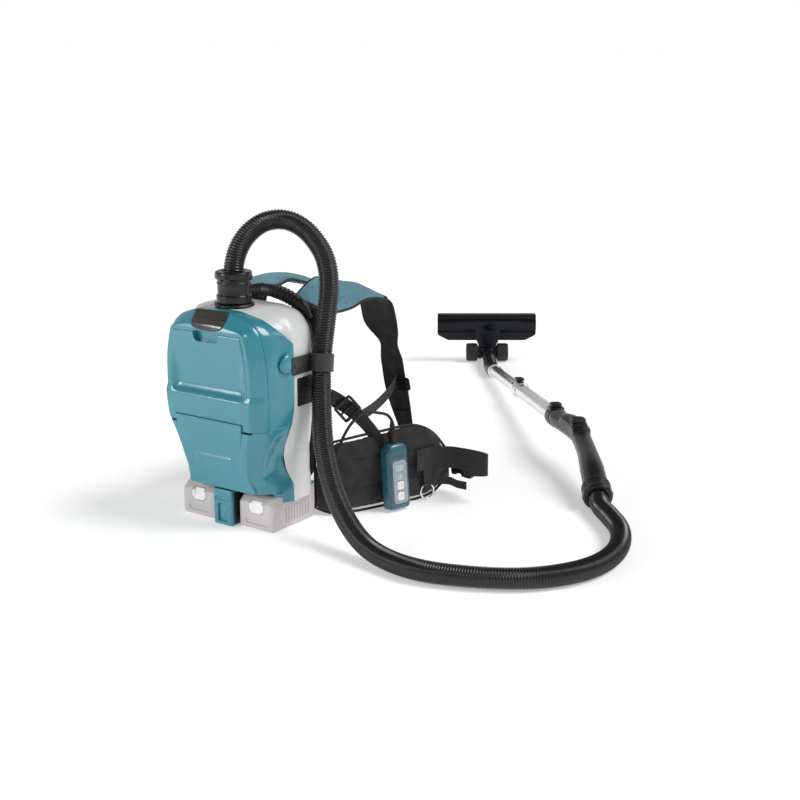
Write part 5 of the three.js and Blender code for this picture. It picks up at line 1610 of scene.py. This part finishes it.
def roller(name):
    """Chamfered tyre on a dished hub with spokes."""
    profile = [(4.5, 23.4), (17, 23.4), (18.6, 24.6), (20.6, 25.4), (21.6, 25.6), (22.8, 28), (22.8, 48),
               (21.4, 52), (19.6, 53), (14, 53), (13.4, 50.6), (8, 50.2), (7.4, 51.8), (4.5, 51.8)]
    parts = [on_axle("tyre", profile, 0.7, segments=64)]
    for turn in range(0, 360, 60):
        spoke = plate("spoke", rounded_rect(2.4, 7, 1), 49.5, 51.6, placed(0, 10.6, 0))
        parts.append(put(spoke, placed(0, 0, 0, turn_y=90) @ placed(0, 0, 0, turn_z=turn)))
    return join(name, *parts)


dress(nozzle_elbow(), "satin_black", "elbow", "nozzle_elbow", 45)
dress(nozzle_body(), "nozzle", "head", "nozzle_body")
dress(nozzle_trim(), "grey", "head")
dress(nozzle_brush(), "bristle", "head", "nozzle_brush", 60)
right_roller = roller("roller_tyre_right")
left_roller = mirror(right_roller, "roller_tyre_left")
dress(put(right_roller, HEAD), "rubber", "roller_right", "wheel_r")
dress(put(left_roller, HEAD), "rubber", "roller_left", "wheel_l")


# ---------------------------------------------------------------- inside the case

FILTER_Z, FILTER_FOLDS = 256, 26
# Dust bag from its foot up, as (height, half width, half depth).
BAG_ROWS = np.array([(180, 30, 12), (188, 48, 17), (200, 62, 24), (228, 72, 29), (255, 76, 31.4),
                     (280, 76, 32), (305, 74, 31.6), (318, 66, 28), (328, 52, 22)], float)


def dust_bag():
    """Paper bag hanging from its holder, creased and slumped."""
    angle = round_angles(120)
    rings = []
    for z, half, deep in monotone(BAG_ROWS[:, 0], BAG_ROWS, np.linspace(180, 328, 75)):
        crease = (1 - 0.05 * np.abs(np.cos(angle)) ** 6 - 0.025 * np.abs(np.sin(5 * angle + z * 0.06))
                  - 0.02 * np.abs(np.sin(3 * angle - z * 0.11 + 1)))
        rings.append(np.column_stack([half * np.cos(angle) * crease, -14 + deep * np.sin(angle) * crease,
                                      np.full(len(angle), z)]))
    return loft("paper_bag", rings)


def filter_frame():
    made = plate("filter_frame", rounded_rect(168, 132, 3), -52, -26.2, upright(0, FILTER_Z))
    return bevel(cut(made, rounded_rect(156, 120, 2), -47, -20, upright(0, FILTER_Z)), 0.8)


def filter_pleats():
    """Deep pleated paper block in the frame."""
    x = np.linspace(-77.5, 77.5, 2 * FILTER_FOLDS + 1)
    y = np.where(np.arange(len(x)) % 2 == 0, 28.0, 45.0)
    back = np.column_stack([x[::-1], np.full(len(x), 47.4)])
    return plate("pleats", np.concatenate([np.column_stack([x, y]), back]), 197, 315)


dress(dust_bag(), "paper", "unit", "dust_bag", 50)
dress(filter_frame(), "pale", "unit", "hepa_filter")
dress(filter_pleats(), "paper", "unit")

# CAD solids that are carried over as they are.
CAD_LOOKS = {
    "cover_hinge_pin": "dark_steel", "cover_gasket": "rubber", "bag_holder": "grey", "motor_housing": "black",
    "motor_rotor": "steel", "fan_impeller": "pale", "control_board": "circuit", "wheel_axle": "steel",
}
for node, look in CAD_LOOKS.items():
    carried = bpy.data.objects[node]
    carried.data.materials.clear()
    carried.data.materials.append(materials[look])


# ---------------------------------------------------------------- floor, light and camera

CAMERA_AT, CAMERA_AZIMUTH, CAMERA_DOWN, LENS, SENSOR = (1.5342, -1.7324, 0.8054), 34.75, 14.55, 63, 36


def stage_floor():
    far = 90000
    corners = [(-far, -far, -0.5), (far, -far, -0.5), (far, far, -0.5), (-far, far, -0.5)]
    floor = build("floor", corners, [(0, 1, 2, 3)])
    shader = Shader("pale_floor")
    pale = shader.mix(shader.noise(3, 2), (0.93, 0.93, 0.93), (0.96, 0.96, 0.96))
    floor.data.materials.append(shader.set(Base_Color=pale, Roughness=0.6, Emission_Color=(1, 1, 1, 1),
                                           Emission_Strength=0.34))
    floor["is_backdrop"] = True


def light(name, kind, at, toward, energy, **settings):
    """Lamp at a place in metres, turned along a direction."""
    lamp = bpy.data.lights.new(name, kind)
    lamp.energy = energy
    for key, value in settings.items():
        setattr(lamp, key, value)
    made = add(name, lamp)
    made.location = at
    made.rotation_mode = "QUATERNION"
    made.rotation_quaternion = Vector(toward).to_track_quat("-Z", "Y")


def stage_light():
    """White surroundings to the camera, dimmer ones to the object, and a high key from the right."""
    world = bpy.data.worlds.new("studio")
    bpy.context.scene.world = world
    world.use_nodes = True
    nodes, links = world.node_tree.nodes, world.node_tree.links
    seen = nodes["Background"]
    seen.inputs["Strength"].default_value = 1.0
    seen.inputs["Color"].default_value = (1, 1, 1, 1)
    lit, way, split, dim, path, mix = (nodes.new(f"ShaderNode{kind}") for kind in (
        "Background", "TexCoord", "SeparateXYZ", "MapRange", "LightPath", "MixShader"))
    lit.inputs["Color"].default_value = (1, 0.99, 0.985, 1)
    for key, value in (("From Min", 0.42), ("From Max", 0.7), ("To Min", 0.56), ("To Max", 0.14)):
        dim.inputs[key].default_value = value
    for start, end in (
            (way.outputs["Generated"], split.inputs[0]), (split.outputs["Z"], dim.inputs["Value"]),
            (dim.outputs[0], lit.inputs["Strength"]), (path.outputs["Is Camera Ray"], mix.inputs["Fac"]),
            (lit.outputs[0], mix.inputs[1]), (seen.outputs[0], mix.inputs[2]),
            (mix.outputs[0], nodes["World Output"].inputs["Surface"])):
        links.new(start, end)
    light("key", "SUN", (0, 0, 0), (-1.0, -0.5, -1.3), 2.0, angle=math.radians(30))
    light("front", "AREA", (-1.5, -2.4, 1.3), (1.5, 2.5, -1.05), 36, shape="DISK", size=1.2)


def camera():
    lens = bpy.data.cameras.new("photo_view")
    lens.sensor_width, lens.lens = SENSOR, LENS
    made = add("photo_view", lens)
    made.location = CAMERA_AT
    made.rotation_euler = (math.radians(90 - CAMERA_DOWN), 0, math.radians(CAMERA_AZIMUTH))
    bpy.context.scene.camera = made


stage_floor()
stage_light()
camera()
bpy.context.scene.view_settings.view_transform = "Standard"

size = {"cad": [list(corner) for corner in cad_box], "visual": [list(corner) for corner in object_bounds()]}
